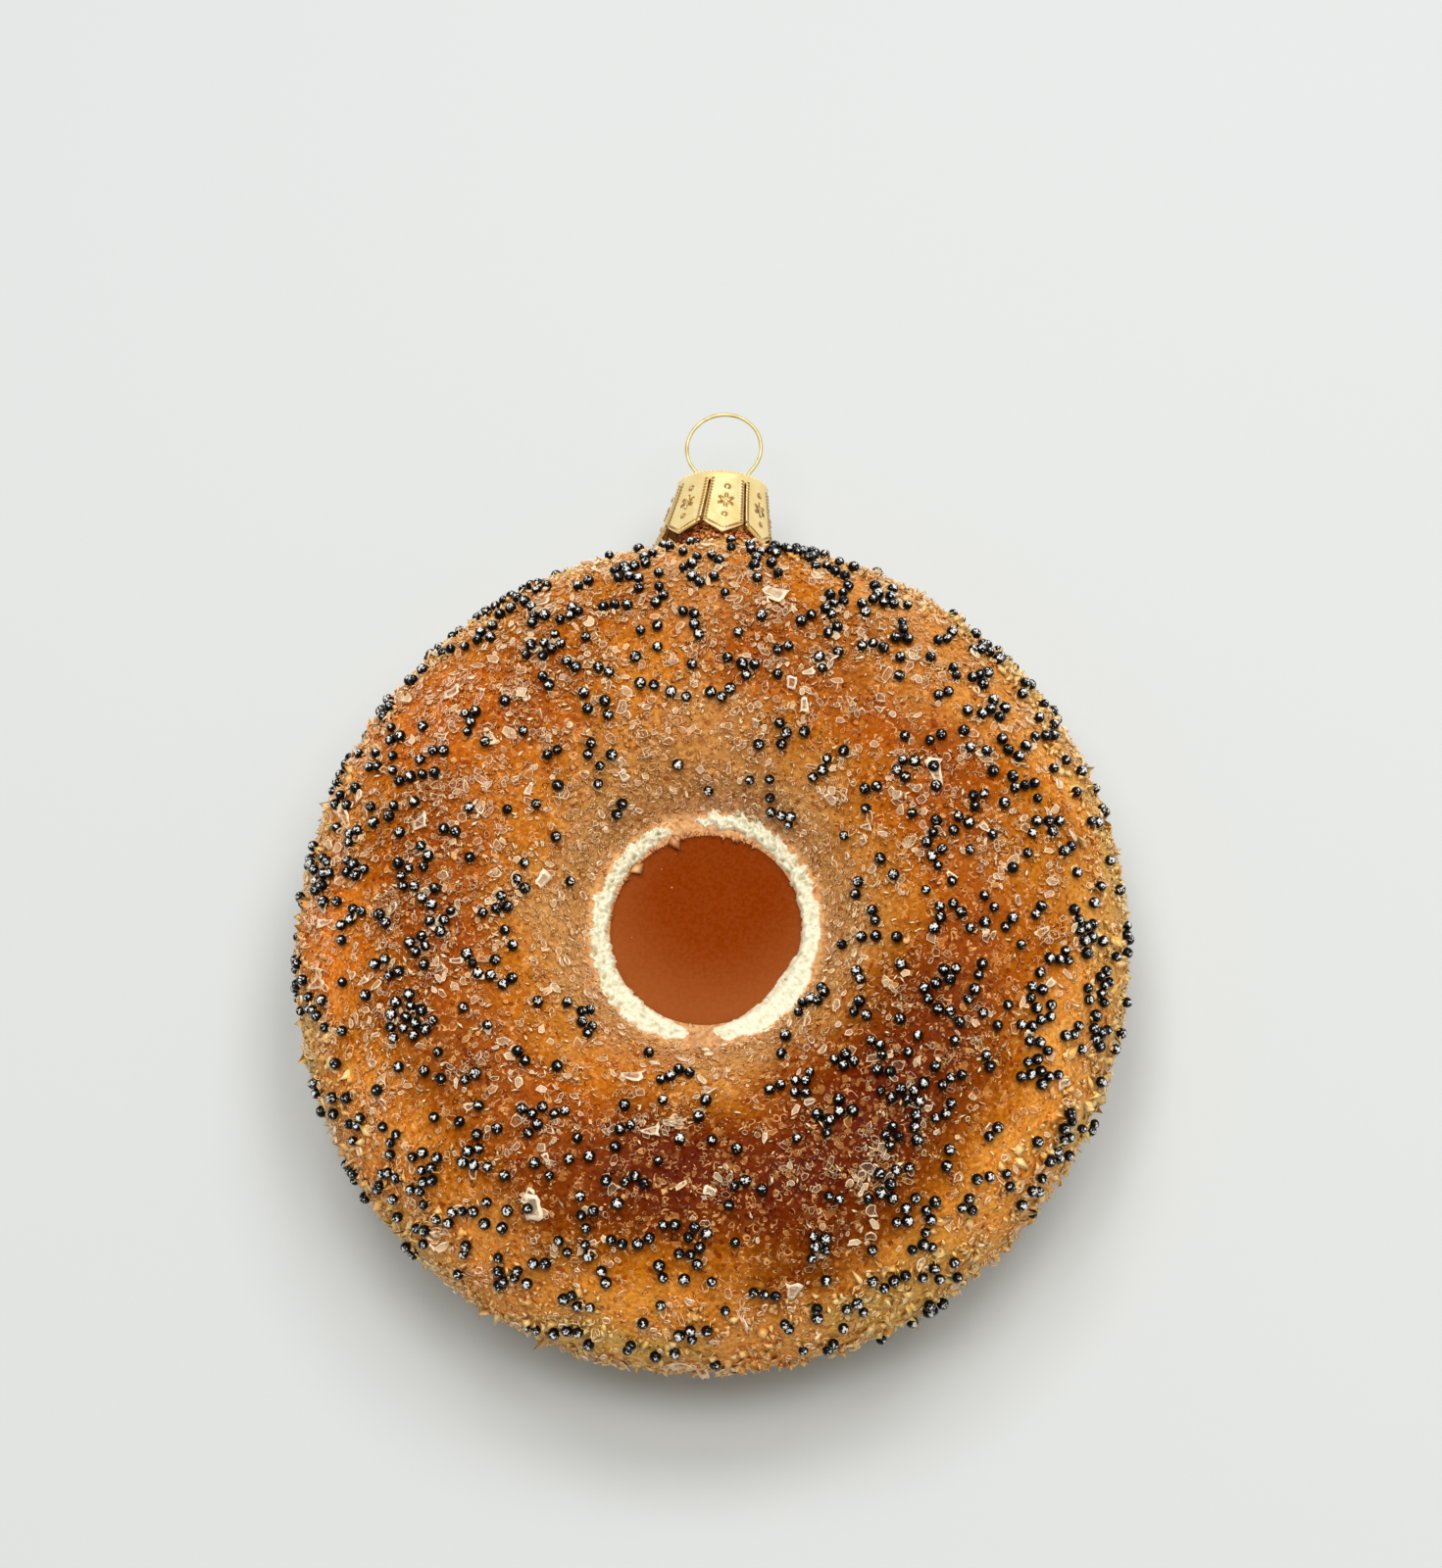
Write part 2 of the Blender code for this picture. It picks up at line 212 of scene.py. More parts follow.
paint = {
    # millimetres from the body's axis, and the colour there
    "rings": [
        (10.5, (214, 164, 112)),
        (14.0, (214, 160, 92)),
        (16.5, (206, 138, 58)),
        (19.5, (192, 114, 24)),
        (23.0, (174, 88, 8)),
        (27.0, (160, 76, 4)),
        (31.0, (172, 90, 8)),
        (35.0, (204, 120, 22)),
        (38.0, (250, 166, 58)),
        (40.8, (255, 206, 104)),
    ],
    # where on the front (turn in degrees, millimetres out), how wide, the colour and how strong
    "passes": [
        (105, 23, 9, (216, 134, 28), 0.85),
        (90, 17, 7, (210, 152, 84), 0.7),
        (120, 16, 6, (206, 150, 80), 0.6),
        (92, 33, 8, (206, 140, 70), 0.7),
        (100, 39, 7, (244, 180, 108), 0.8),
        (145, 34, 10, (222, 120, 34), 0.8),
        (152, 41, 8, (255, 170, 92), 0.85),
        (183, 39, 10, (255, 146, 44), 0.85),
        (185, 28, 8, (146, 68, 10), 0.7),
        (150, 21, 7, (214, 130, 30), 0.6),
        (45, 36, 10, (226, 158, 74), 0.7),
        (62, 39, 8, (246, 184, 106), 0.8),
        (60, 30, 8, (180, 110, 34), 0.6),
        (30, 40, 8, (244, 190, 104), 0.7),
        (10, 32, 8, (180, 110, 28), 0.6),
        (0, 39, 7, (236, 176, 84), 0.6),
        (265, 26, 10, (96, 28, 0), 0.97),
        (245, 32, 8, (116, 46, 2), 0.85),
        (290, 30, 12, (100, 30, 0), 0.97),
        (312, 26, 12, (98, 28, 0), 0.97),
        (336, 24, 9, (112, 42, 0), 0.9),
        (300, 18, 6, (136, 56, 6), 0.7),
        (215, 28, 8, (140, 74, 18), 0.6),
        (215, 40, 9, (255, 168, 70), 0.9),
        (250, 16, 6, (206, 118, 28), 0.6),
        (240, 40, 9, (255, 170, 74), 0.9),
        (280, 41, 9, (255, 172, 78), 0.9),
        (320, 41, 9, (255, 176, 74), 0.9),
        (345, 39, 8, (255, 178, 80), 0.8),
    ],
    "cream": [(232, 222, 190), (222, 206, 168)],
}


def halfWidth(cosine):
    # the section is wider on its inner side; for one number or an array of them
    return np.where(cosine > 0, form["halfWidth"], form["innerHalfWidth"])


def paintPoint(turn, out):
    across = (out - form["tubeRadius"]) / float(halfWidth(out - form["tubeRadius"]))
    height = form["halfHeight"] * math.sqrt(max(0.0, 1 - across * across))
    turn = math.radians(turn)
    return Vector((out * math.cos(turn), out * math.sin(turn) * form["stretch"], height))


def wandering(points):
    # pushes points in millimetres about in waves, so that no edge of the spray runs straight
    waves = np.random.default_rng(31)
    moved = points.astype(float)
    for length in (11.0, 11.0, 8.0, 8.0, 5.0, 5.0, 3.2, 3.2):
        heading = waves.normal(0, 1, 3)
        heading /= np.linalg.norm(heading)
        push = waves.normal(0, 1, 3)
        push /= np.linalg.norm(push)
        wave = np.sin(points @ heading * math.tau / length + waves.random() * math.tau)
        moved += np.outer(wave, push) * length * 0.085
    return moved


def sprayedPaint(points):
    # colour by distance from the axis, then by the soft passes; points in millimetres
    spot = wandering(points)
    reach = np.hypot(spot[:, 0], spot[:, 1] / form["stretch"])
    outs = np.array([out for out, _ in paint["rings"]])
    tints = np.array([linear(*tint) for _, tint in paint["rings"]])
    ring = np.clip(np.searchsorted(outs, reach) - 1, 0, len(outs) - 2)
    along = np.clip((reach - outs[ring]) / (outs[ring + 1] - outs[ring]), 0, 1)
    share = (along * along * (3 - 2 * along))[:, None]
    colour = tints[ring] * (1 - share) + tints[ring + 1] * share
    for turn, out, wide, tint, strength in paint["passes"]:
        apart = np.linalg.norm(spot - np.array(paintPoint(turn, out)), axis=1)
        near = np.clip((1.25 * wide - apart) / (1.1 * wide), 0, 1)
        share = (strength * near * near * (3 - 2 * near))[:, None]
        colour = colour * (1 - share) + np.array(linear(*tint)) * share
    return colour


def saveLayer(mesh, name, values, kind="FLOAT"):
    layer = mesh.attributes.new(name, kind, "POINT")
    label = "value" if kind == "FLOAT" else "color"
    layer.data.foreach_set(label, values.astype(np.float32).ravel())


def meshPlaces(mesh):
    places = np.empty(len(mesh.vertices) * 3)
    mesh.vertices.foreach_get("co", places)
    return places.reshape(-1, 3)


def paintMesh(mesh):
    points = (meshPlaces(mesh) - np.array(centre)) / mm
    saveLayer(mesh, "paint", sprayedPaint(points), "FLOAT_COLOR")
    return mesh


def chipLayer(nodes, where, scale, gate):
    # thin clear chips lying in the paint: a broken bright outline, a painted glint along each chip's edge,
    # and a lighter or darker inside
    bend = nodes.add("TexNoise", Vector=where, Scale=scale * 1.1, Detail=1).outputs["Color"]
    bent = nodes.math("MULTIPLY_ADD", bend, [1.1 / scale] * 3, where, kind="VectorMath")
    cells = nodes.add("TexVoronoi", Vector=bent, Scale=scale)
    parts = nodes.add("SeparateColor", Color=cells.outputs["Color"])
    reach = nodes.spread(parts.outputs["Red"], 0.0, 1.0, 0.26, 0.5)
    apart = nodes.math("SUBTRACT", cells.outputs["Distance"], reach)
    line = nodes.spread(nodes.math("ABSOLUTE", apart), 0.02, 0.085, 1.0, 0.0)
    shown = nodes.spread(nodes.noise(where, scale * 0.7, 1), gate, gate + 0.12)
    inside = nodes.spread(apart, -0.04, 0.0, 1.0, 0.0)
    light = nodes.math("MULTIPLY", inside, nodes.spread(parts.outputs["Green"], 0.55, 1.0, 0.0, 1.0))
    dark = nodes.math("MULTIPLY", inside, nodes.spread(parts.outputs["Green"], 0.0, 0.45, 1.0, 0.0))
    return nodes.math("MULTIPLY", line, shown), light, dark


coat = {
    "paintEnd": (-0.0042, -0.0006),  # metres from the body's middle plane, where the cream back begins
    "ragged": 0.005,
    "grain": (150, 70, 10),
    # how small each layer of chips is, and where its outlines break off
    "layers": ((950, 0.52), (1700, 0.51)),
    "light": (255, 184, 96),
    "dark": (196, 120, 50),
    # outline is the colour of the painted glints along the chips' edges
    "outline": (255, 196, 128),
}


def shellMaterial():
    nodes = Nodes("sprayed glass")
    where = nodes.places()
    height = nodes.add("SeparateXYZ", Vector=where).outputs["Z"]
    ragged = nodes.math("MULTIPLY", nodes.noise(where, 260, 4), coat["ragged"])
    behind = nodes.spread(nodes.math("ADD", height, ragged), *coat["paintEnd"], 1.0, 0.0)
    back = nodes.mix(nodes.noise(where, 90, 3), *(linear(*tint) for tint in paint["cream"]))
    colour = nodes.mix(behind, nodes.kept("paint", "Color"), back)
    grain = nodes.spread(nodes.noise(where, 2400, 3), 0.35, 0.65, 0.42, 0.0)
    colour = nodes.mix(grain, colour, linear(*coat["grain"]), "MULTIPLY")
    total = None
    for scale, gate in coat["layers"]:
        line, light, dark = chipLayer(nodes, where, scale, gate)
        colour = nodes.mix(nodes.math("MULTIPLY", light, 0.22), colour, linear(*coat["light"]))
        colour = nodes.mix(nodes.math("MULTIPLY", dark, 0.7), colour, linear(*coat["dark"]), "MULTIPLY")
        total = nodes.math("MAXIMUM", total, line) if total else line
    # painted glints along the chips' outlines
    lines = nodes.math("MULTIPLY", total, 0.6)
    shown = nodes.math("MULTIPLY", lines, nodes.math("SUBTRACT", 1.0, behind))
    colour = nodes.mix(shown, colour, linear(*coat["outline"]))
    nodes.set(Base_Color=colour, Roughness=0.35, IOR=1.45, Specular_IOR_Level=0.03)
    cells = nodes.add("TexVoronoi", Vector=where, Scale=1500).outputs["Distance"]
    relief = nodes.math("ADD", cells, nodes.noise(where, 1500, 3))
    nodes.bump(nodes.math("ADD", relief, nodes.math("MULTIPLY", lines, 0.4)), 0.5, 0.0003)
    return nodes.material


copper = {
    "shadiest": (0.001, 0.0042, 0.0045),  # where the painted shade is deepest, in metres from the body's centre
    "sheenFade": (0.004, 0.0135),  # metres from there, from painted shade to painted sheen
    # deep is the copper in painted shade, pale the copper under painted sheen
    "deep": (126, 46, 0),
    "pale": (146, 74, 30),
    "fine": (176, 104, 60),
    "dust": (236, 200, 160),
}


def copperMaterial():
    # painted shade, deeper above the middle, and painted sheen, rosier and paler towards the lower edge,
    # with a little dust
    nodes = Nodes("copper paint")
    where = nodes.places()
    # the painted sheen's edge wanders a little
    sheenFade = nodes.math("MULTIPLY_ADD", nodes.noise(where, 160, 2), 0.3, -0.15)
    away = nodes.spread(nodes.apart(where, copper["shadiest"]), *copper["sheenFade"])
    away = nodes.math("ADD", away, sheenFade, clamp=True)
    colour = nodes.mix(away, linear(*copper["deep"]), linear(*copper["pale"]))
    fine = nodes.spread(nodes.noise(where, 2600, 2), 0.35, 0.65, 0.0, 0.1)
    colour = nodes.mix(fine, colour, linear(*copper["fine"]))
    dust = nodes.add("TexVoronoi", Vector=where, Scale=850).outputs["Distance"]
    speck = nodes.spread(dust, 0.04, 0.09, 0.7, 0.0)
    thin = nodes.spread(nodes.noise(where, 420, 1), 0.58, 0.66)
    colour = nodes.mix(nodes.math("MULTIPLY", speck, thin), colour, linear(*copper["dust"]))
    nodes.set(Base_Color=colour, Roughness=0.6, IOR=1.3, Specular_IOR_Level=0.0)
    return nodes.material


# glass shell: one closed skin of revolution, with the web in front and behind

shell = {
    "coatDepth": 0.45,  # how far the glass lies under the coat's outer face
    "tubeSteps": 96,
    "turnSteps": 256,
    "webSteps": 18,
    "floor": -15.2,  # the flat on the back
    "backRadius": 11.2,  # where the back's recess begins
    # radius and height of the web's edge and of the ledge round it
    "ledge": [(9.45, 6.0), (9.52, 6.2), (9.9, 6.3), (10.5, 6.38), (11.2, 6.42), (11.7, 6.46), (12.6, 7.2)],
}


def skinLift(angle):
    # under the coat in front, at the CAD face behind
    blend = (angle - math.radians(-26)) / math.radians(14)
    blend = min(1.0, max(0.0, blend))
    return -shell["coatDepth"] * blend * blend * (3 - 2 * blend)


def tubePoint(angle, lift=0.0):
    half = float(halfWidth(math.cos(angle)))
    across, up = math.cos(angle) / half, math.sin(angle) / form["halfHeight"]
    size = math.hypot(across, up)
    radius = form["tubeRadius"] + half * math.cos(angle) + lift * across / size
    return radius, form["halfHeight"] * math.sin(angle) + lift * up / size


def tubeAngle(radius):
    # on the front, inside the crest
    return math.acos((radius - form["tubeRadius"]) / form["innerHalfWidth"])


def webHeight(radius):
    return form["webEdge"] - form["webDish"] * (1 - (radius / form["webRadius"]) ** 2)


def ledgeHeight(radius):
    # the shell's height at the web's edge and on the ledge round it
    if radius < form["webRadius"]:
        return webHeight(radius)
    return float(np.interp(radius, *zip(*shell["ledge"])))


def glassShell():
    start = tubeAngle(form["rimRadius"] + 0.1)
    stop = -tubeAngle(shell["backRadius"])
    steps = shell["tubeSteps"]
    angles = [start + (stop - start) * step / steps for step in range(steps + 1)]
    ring = [tubePoint(angle, skinLift(angle)) for angle in angles]
    ring = [(radius, max(height, shell["floor"])) for radius, height in ring]
    radii = [form["webRadius"] * step / shell["webSteps"] for step in range(shell["webSteps"] + 1)]
    web = [(radius, webHeight(radius)) for radius in radii]
    back = [(radius, -height) for radius, height in reversed(web)]
    bm = turned(web + shell["ledge"][1:-1] + ring + back, shell["turnSteps"])
    for face in bm.faces:
        middle = face.calc_center_median()
        out = math.hypot(middle.x, middle.y)
        if out < form["webRadius"] + 0.12 and middle.z > 0:
            face.material_index = 1
    bmesh.ops.scale(bm, verts=bm.verts, vec=(1, form["stretch"], 1))
    mesh = paintMesh(placedMesh("glassShell", bm))
    return addPiece("glassShell", mesh, [shellMaterial(), copperMaterial()], smooth=True)


def neckFoot():
    return (form["tubeRadius"] + form["halfWidth"]) * form["stretch"]


def neckGlass():
    top = form["capTop"] - 0.71
    foot = neckFoot()
    outline = [
        (0.0, foot - 4.5),
        (5.2, foot - 4.0),
        (4.6, foot - 0.4),
        (4.1, foot + 1.0),
        (3.7, foot + 2.6),
        (3.7, top - 0.3),
        (3.45, top),
        (2.95, top),
        (2.9, top - 0.3),
        (2.9, top - 6.0),
        (0.0, top - 6.0),
    ]
    bm = turned(outline, 64)
    bmesh.ops.rotate(bm, verts=bm.verts, matrix=upFromFront)
    mesh = paintMesh(placedMesh("neckGlass", bm))
    return addPiece("neckGlass", mesh, shellMaterial(), smooth=True)


# scattering: many copies of a few small shapes, joined into one mesh


def coatPlaces(count, rng, widest=None, until=None):
    # tube angles and turns, even over the coat's area
    start = tubeAngle(widest or form["rimRadius"] - 0.5)
    grid = np.linspace(start, form["coatEnd"] if until is None else until, 400)
    radius = form["tubeRadius"] + halfWidth(np.cos(grid)) * np.cos(grid)
    height = form["halfHeight"] * np.sin(grid)
    runs = np.hypot(np.diff(radius), np.diff(height))
    reach = np.concatenate([[0], np.cumsum((radius[1:] + radius[:-1]) / 2 * runs)])
    angle = np.interp(rng.random(count) * reach[-1], reach, grid)
    return angle, rng.random(count) * math.tau


def onCoat(angle, turn, lift):
    # points in millimetres from the body's centre, and outward directions
    half = halfWidth(np.cos(angle))
    across, up = np.cos(angle) / half, np.sin(angle) / form["halfHeight"]
    size = np.hypot(across, up)
    across, up = across / size, up / size
    radius = form["tubeRadius"] + half * np.cos(angle) + (lift - shell["coatDepth"]) * across
    height = form["halfHeight"] * np.sin(angle) + (lift - shell["coatDepth"]) * up
    points = polar(radius, turn, height) * (1, form["stretch"], 1)
    return points, polar(across, turn, up)


def turnsAbout(normals, rng, tilt):
    # one rotation for each normal: a free spin, then a tilt away from the surface
    count = len(normals)
    side = np.cross(normals, np.array([0.31, 0.92, 0.23]))
    side /= np.linalg.norm(side, axis=1, keepdims=True)
    ahead = np.cross(normals, side)
    spin = rng.random(count) * math.tau
    one = side * np.cos(spin)[:, None] + ahead * np.sin(spin)[:, None]
    two = np.cross(normals, one)
    lean = rng.normal(0, 1, count) * tilt
    out = normals * np.cos(lean)[:, None] + one * np.sin(lean)[:, None]
    one = one * np.cos(lean)[:, None] - normals * np.sin(lean)[:, None]
    return np.stack([one, two, out], axis=2)


def shapeArrays(bm):
    # points, triangles and, for each point, 1 at a plate's rim and 0 in its middle
    bmesh.ops.triangulate(bm, faces=bm.faces)
    bmesh.ops.recalc_face_normals(bm, faces=bm.faces)
    bm.verts.index_update()
    rim = bm.verts.layers.float.get("rim")
    verts = np.array([vert.co[:] for vert in bm.verts])
    faces = np.array([[vert.index for vert in face.verts] for face in bm.faces])
    edge = np.array([vert[rim] if rim else 0.0 for vert in bm.verts])
    bm.free()
    return verts, faces, edge


def joinedCopies(name, shapes, points, turns, sizes, tones, rng):
    # every copy takes one of the shapes; tone is one number for each copy
    pick = rng.integers(0, len(shapes), len(points))
    under = sprayedPaint(points)
    parts = []
    used = 0
    for index, (verts, faces, edge) in enumerate(shapes):
        chosen = pick == index
        copies = int(chosen.sum())
        scaled = verts[None] * sizes[chosen][:, None, :]
        placed = np.einsum("nij,nvj->nvi", turns[chosen], scaled) + points[chosen][:, None, :]
        steps = used + np.arange(copies) * len(verts)
        joined = (
            placed.reshape(-1, 3),
            (faces[None] + steps[:, None, None]).reshape(-1, 3),
            np.repeat(tones[chosen], len(verts)),
            np.tile(edge, copies),
            np.repeat(under[chosen], len(verts), axis=0),
        )
        parts.append(joined)
        used += copies * len(verts)
    verts, faces, tones, rims, paints = (np.concatenate(column) for column in zip(*parts))
    verts = verts * mm + np.array(centre)
    mesh = bpy.data.meshes.new(name)
    mesh.vertices.add(len(verts))
    mesh.vertices.foreach_set("co", verts.astype(np.float32).ravel())
    mesh.loops.add(faces.size)
    mesh.loops.foreach_set("vertex_index", faces.astype(np.int32).ravel())
    mesh.polygons.add(len(faces))
    mesh.polygons.foreach_set("loop_start", np.arange(0, faces.size, 3, dtype=np.int32))
    mesh.update(calc_edges=True)
    saveLayer(mesh, "tone", tones)
    saveLayer(mesh, "rim", rims)
    saveLayer(mesh, "paint", paints, "FLOAT_COLOR")
    print(name, len(faces), "triangles")
    return mesh


def grainShapes(rng, count=10):
    # small eight-sided crystals with uneven corners
    made = []
    for _ in range(count):
        bm = bmesh.new()
        bmesh.ops.create_cone(bm, cap_ends=False, segments=4, radius1=1, radius2=0, depth=1)
        foot = bmesh.ops.contextual_create(bm, geom=[edge for edge in bm.edges if edge.is_boundary])
        bmesh.ops.poke(bm, faces=foot["faces"], offset=-1.0)
        for vert in bm.verts:
            vert.co += Vector(rng.uniform(-0.32, 0.32, 3))
        made.append(shapeArrays(bm))
    return made


def thicken(bm, high):
    # a second skin over the first, and the sides between them
    grown = bmesh.ops.extrude_face_region(bm, geom=list(bm.faces))
    raised = [item for item in grown["geom"] if isinstance(item, bmesh.types.BMVert)]
    bmesh.ops.translate(bm, verts=raised, vec=(0, 0, high))
    return raised


def plateShapes(rng, corners, inset, count=16):
    # thin broken plates whose rim stands up a little round a shallow middle
    made = []
    for index in range(count):
        bm = bmesh.new()
        rim = bm.verts.layers.float.new("rim")
        segments = corners[index % len(corners)]
        bmesh.ops.create_circle(bm, cap_ends=True, segments=segments, radius=1)
        for vert in bm.verts:
            vert.co *= rng.uniform(0.55, 1.1)
            vert.co.z = rng.uniform(-0.15, 0.15)
            vert[rim] = 1.0
        raised = thicken(bm, 0.8)
        for vert in raised:
            vert.co += Vector(rng.uniform(-0.16, 0.16, 3))
        wide = rng.uniform(*inset)
        flat = [face for face in bm.faces if len({vert in raised for vert in face.verts}) == 1]
        for face in flat:
            bmesh.ops.inset_region(bm, faces=[face], thickness=wide, depth=-0.1)
            for vert in face.verts:
                vert[rim] = 0.0
                vert.co.z += rng.uniform(-0.12, 0.12)
        made.append(shapeArrays(bm))
    return made


def shardShapes(rng, count=14):
    # bent pieces of thin blown glass
    made = []
    for _ in range(count):
        bm = bmesh.new()
        rim = bm.verts.layers.float.new("rim")
        bmesh.ops.create_grid(bm, x_segments=4, y_segments=3, size=1)
        bend = rng.uniform(0.1, 0.5)
        pinch = rng.uniform(0.2, 1.0)
        for vert in bm.verts:
            vert[rim] = 1.0 if vert.is_boundary else 0.0
            vert.co.y *= 1 - pinch * 0.45 * (vert.co.x + 1)
            vert.co.z = bend * (vert.co.x**2 - 0.5)
            if vert.is_boundary:
                vert.co.x += rng.uniform(-0.2, 0.2)
                vert.co.y += rng.uniform(-0.16, 0.16)
        thicken(bm, 0.14)
        made.append(shapeArrays(bm))
    return made


def grainMaterial():
    # clear grains so small that each one simply shows the paint round it
    nodes = Nodes("crystal grains")
    pale = nodes.spread(nodes.kept(), 0.6, 1.0, 0.0, 0.3)
    colour = nodes.mix(pale, nodes.kept("paint", "Color"), linear(255, 206, 150))
    dark = nodes.spread(nodes.kept(), 0.0, 0.45, 0.5, 0.0)
    colour = nodes.mix(dark, colour, linear(140, 62, 10), "MULTIPLY")
    nodes.set(Base_Color=colour, Roughness=0.2, IOR=1.3)
    return nodes.material


def sliverMaterial(name, tint, tinted):
    # from the colour of the paint round it to nearly white, sliver by sliver: the pale ones are painted
    # glints of the clear glass
    nodes = Nodes(name)
    share = nodes.spread(nodes.math("POWER", nodes.kept(), 1.7), 0.0, 1.0, *tinted)
    colour = nodes.mix(share, nodes.kept("paint", "Color"), linear(*tint))
    nodes.set(Base_Color=colour, Roughness=0.2, IOR=1.6)
    return nodes.material


def plateMaterial(name, tint, tinted, solid, rimShare=1.0):
    # clear in the middle and pale at the rim, a painted glint along the edge, with more of both from plate
    # to plate
    nodes = Nodes(name)
    share = nodes.spread(nodes.kept(), 0.0, 0.8, *tinted)
    colour = nodes.mix(share, nodes.kept("paint", "Color"), linear(*tint))
    edge = nodes.spread(nodes.kept("rim"), 0.2, 0.6, 0.0, rimShare)
    body = nodes.math("POWER", nodes.kept(), 3.0)
    body = nodes.math("MULTIPLY_ADD", body, solid[1] - solid[0], solid[0])
    alpha = nodes.math("ADD", edge, body, clamp=True)
    nodes.set(Base_Color=colour, Roughness=0.12, IOR=1.5, Alpha=alpha)
    return nodes.material


def twoTones(name, dark, pale, roughness):
    nodes = Nodes(name)
    colour = nodes.mix(nodes.kept(), linear(*dark), linear(*pale))
    nodes.set(Base_Color=colour, Roughness=roughness, IOR=1.5)
    return nodes.material


# sizes in millimetres; tinted is how far the least and the most tinted copy leave the paint's colour,
# and solid how far the middle of a plate is from clear
# each tint is the pale colour of the painted glints on the clear glass
crystals = {
    "fineGrains": {"count": 9000, "size": (0.18, 0.4), "lift": (-0.05, 0.15), "seed": 3},
    "slivers": {
        "count": 24000,
        "size": (0.12, 0.3),
        "lift": (0.1, 0.4),
        "narrow": (0.3, 0.6),
        "tilt": 0.5,
        "tint": (255, 200, 122),
        "tinted": (0.0, 1.0),
        "seed": 4,
    },
    "needles": {
        "count": 15000,
        "size": (0.22, 0.55),
        "lift": (0.2, 0.5),
        "narrow": (0.22, 0.42),
        "tilt": 0.35,
        "tint": (255, 226, 172),
        "tinted": (0.1, 1.0),
        "seed": 8,
    },
    "glassFlakes": {
        "count": 8600,
        "size": (0.32, 0.8),
        "tint": (255, 220, 172),
        "tinted": (0.4, 1.0),
        "seed": 5,
    },
    "amberFlakes": {
        "count": 8200,
        "size": (0.22, 0.48),
        "tint": (255, 186, 96),
        "tinted": (0.2, 0.85),
        "seed": 12,
    },
    "clearPlates": {
        "count": 2600,
        "size": (0.4, 0.85),
        "tint": (255, 230, 190),
        "tinted": (0.65, 1.0),
        "seed": 6,
    },
    "largeShards": {
        "count": 230,
        "size": (0.6, 1.3),
        "tint": (255, 230, 194),
        "tinted": (0.8, 1.0),
        "seed": 7,
    },
    "rimCrystals": {
        "count": 3000,
        "size": (0.32, 1.0),
        "tint": (255, 216, 140),
        "tinted": (0.25, 1.0),
        "seed": 9,
    },
    "neckCrystals": {"count": 520, "size": (0.2, 0.42), "seed": 10},
}


def nearHole(angle):
    # 0 at the hole, 1 from some way out: the crystals are finer close to the hole
    radius = form["tubeRadius"] + halfWidth(np.cos(angle)) * np.cos(angle)
    return np.where(np.sin(angle) > 0, np.clip((radius - 11) / 9, 0, 1), 1.0)


def clearOfNeck(points, gap=4.6):
    return (points[:, 1] < 0) | (np.hypot(points[:, 0], points[:, 2]) > gap)


def drifts(points):
    # crystals lie in loose drifts a few millimetres wide, with clearer glass between them
    waves = np.random.default_rng(77)
    total = np.zeros(len(points))
    for _ in range(9):
        heading = waves.normal(0, 1, 3)
        heading *= math.tau / waves.uniform(4, 9) / np.linalg.norm(heading)
        total += np.sin(points @ heading + waves.random() * math.tau)
    # and they are thicker above and on the left than below on the right
    turn = np.arctan2(points[:, 1], points[:, 0])
    return np.clip(0.48 + 0.38 * np.cos(turn - math.radians(125)) + 0.8 * total / 5, 0.1, 1)


def scatterOnCoat(count, rng, lift, gap=4.6, widest=None, fewerAtHole=0.0):
    # points, outward directions and nearness to the hole of what is left after the thinning
    angle, turn = coatPlaces(count, rng, widest)
    points, normals = onCoat(angle, turn, rng.uniform(*lift, count))
    near = 1 - nearHole(angle)
    share = (1 - fewerAtHole * near) * np.maximum(drifts(points), 0.9 * near)
    keep = clearOfNeck(points, gap) & (rng.random(count) < share)
    return points[keep], normals[keep], nearHole(angle[keep])


def begun(name):
    # a piece's values and its own random numbers
    own = crystals[name]
    return own, np.random.default_rng(own["seed"])


def unevenSizes(own, rng, count, power):
    # the higher the power, the fewer large ones
    return own["size"][0] + rng.random(count) ** power * (own["size"][1] - own["size"][0])


def fineGrains():
    own, rng = begun("fineGrains")
    points, normals, far = scatterOnCoat(own["count"], rng, own["lift"])
    count = len(points)
    size = rng.uniform(*own["size"], count) * (0.75 + 0.25 * far)
    sizes = size[:, None] * rng.uniform(0.7, 1.3, (count, 3)) * np.array([1, 1, 0.6])
    turns = turnsAbout(normals, rng, 0.4)
    mesh = joinedCopies("fineGrains", grainShapes(rng), points, turns, sizes, rng.random(count), rng)
    return addPiece("fineGrains", mesh, grainMaterial(), smooth=True)


def thinSlivers(name):
    # short bright strokes lying every way on the coat, their paleness painted glints
    own, rng = begun(name)
    points, normals, far = scatterOnCoat(own["count"], rng, own["lift"])
    count = len(points)
    long = unevenSizes(own, rng, count, 1.6) * (0.8 + 0.2 * far)
    wide = long * rng.uniform(*own["narrow"], count)
    sizes = np.stack([long, wide, rng.uniform(0.05, 0.11, count)], axis=1)
    turns = turnsAbout(normals, rng, own["tilt"])
    mesh = joinedCopies(name, grainShapes(rng), points, turns, sizes, rng.random(count), rng)
    return addPiece(name, mesh, sliverMaterial(name, own["tint"], own["tinted"]), smooth=True)


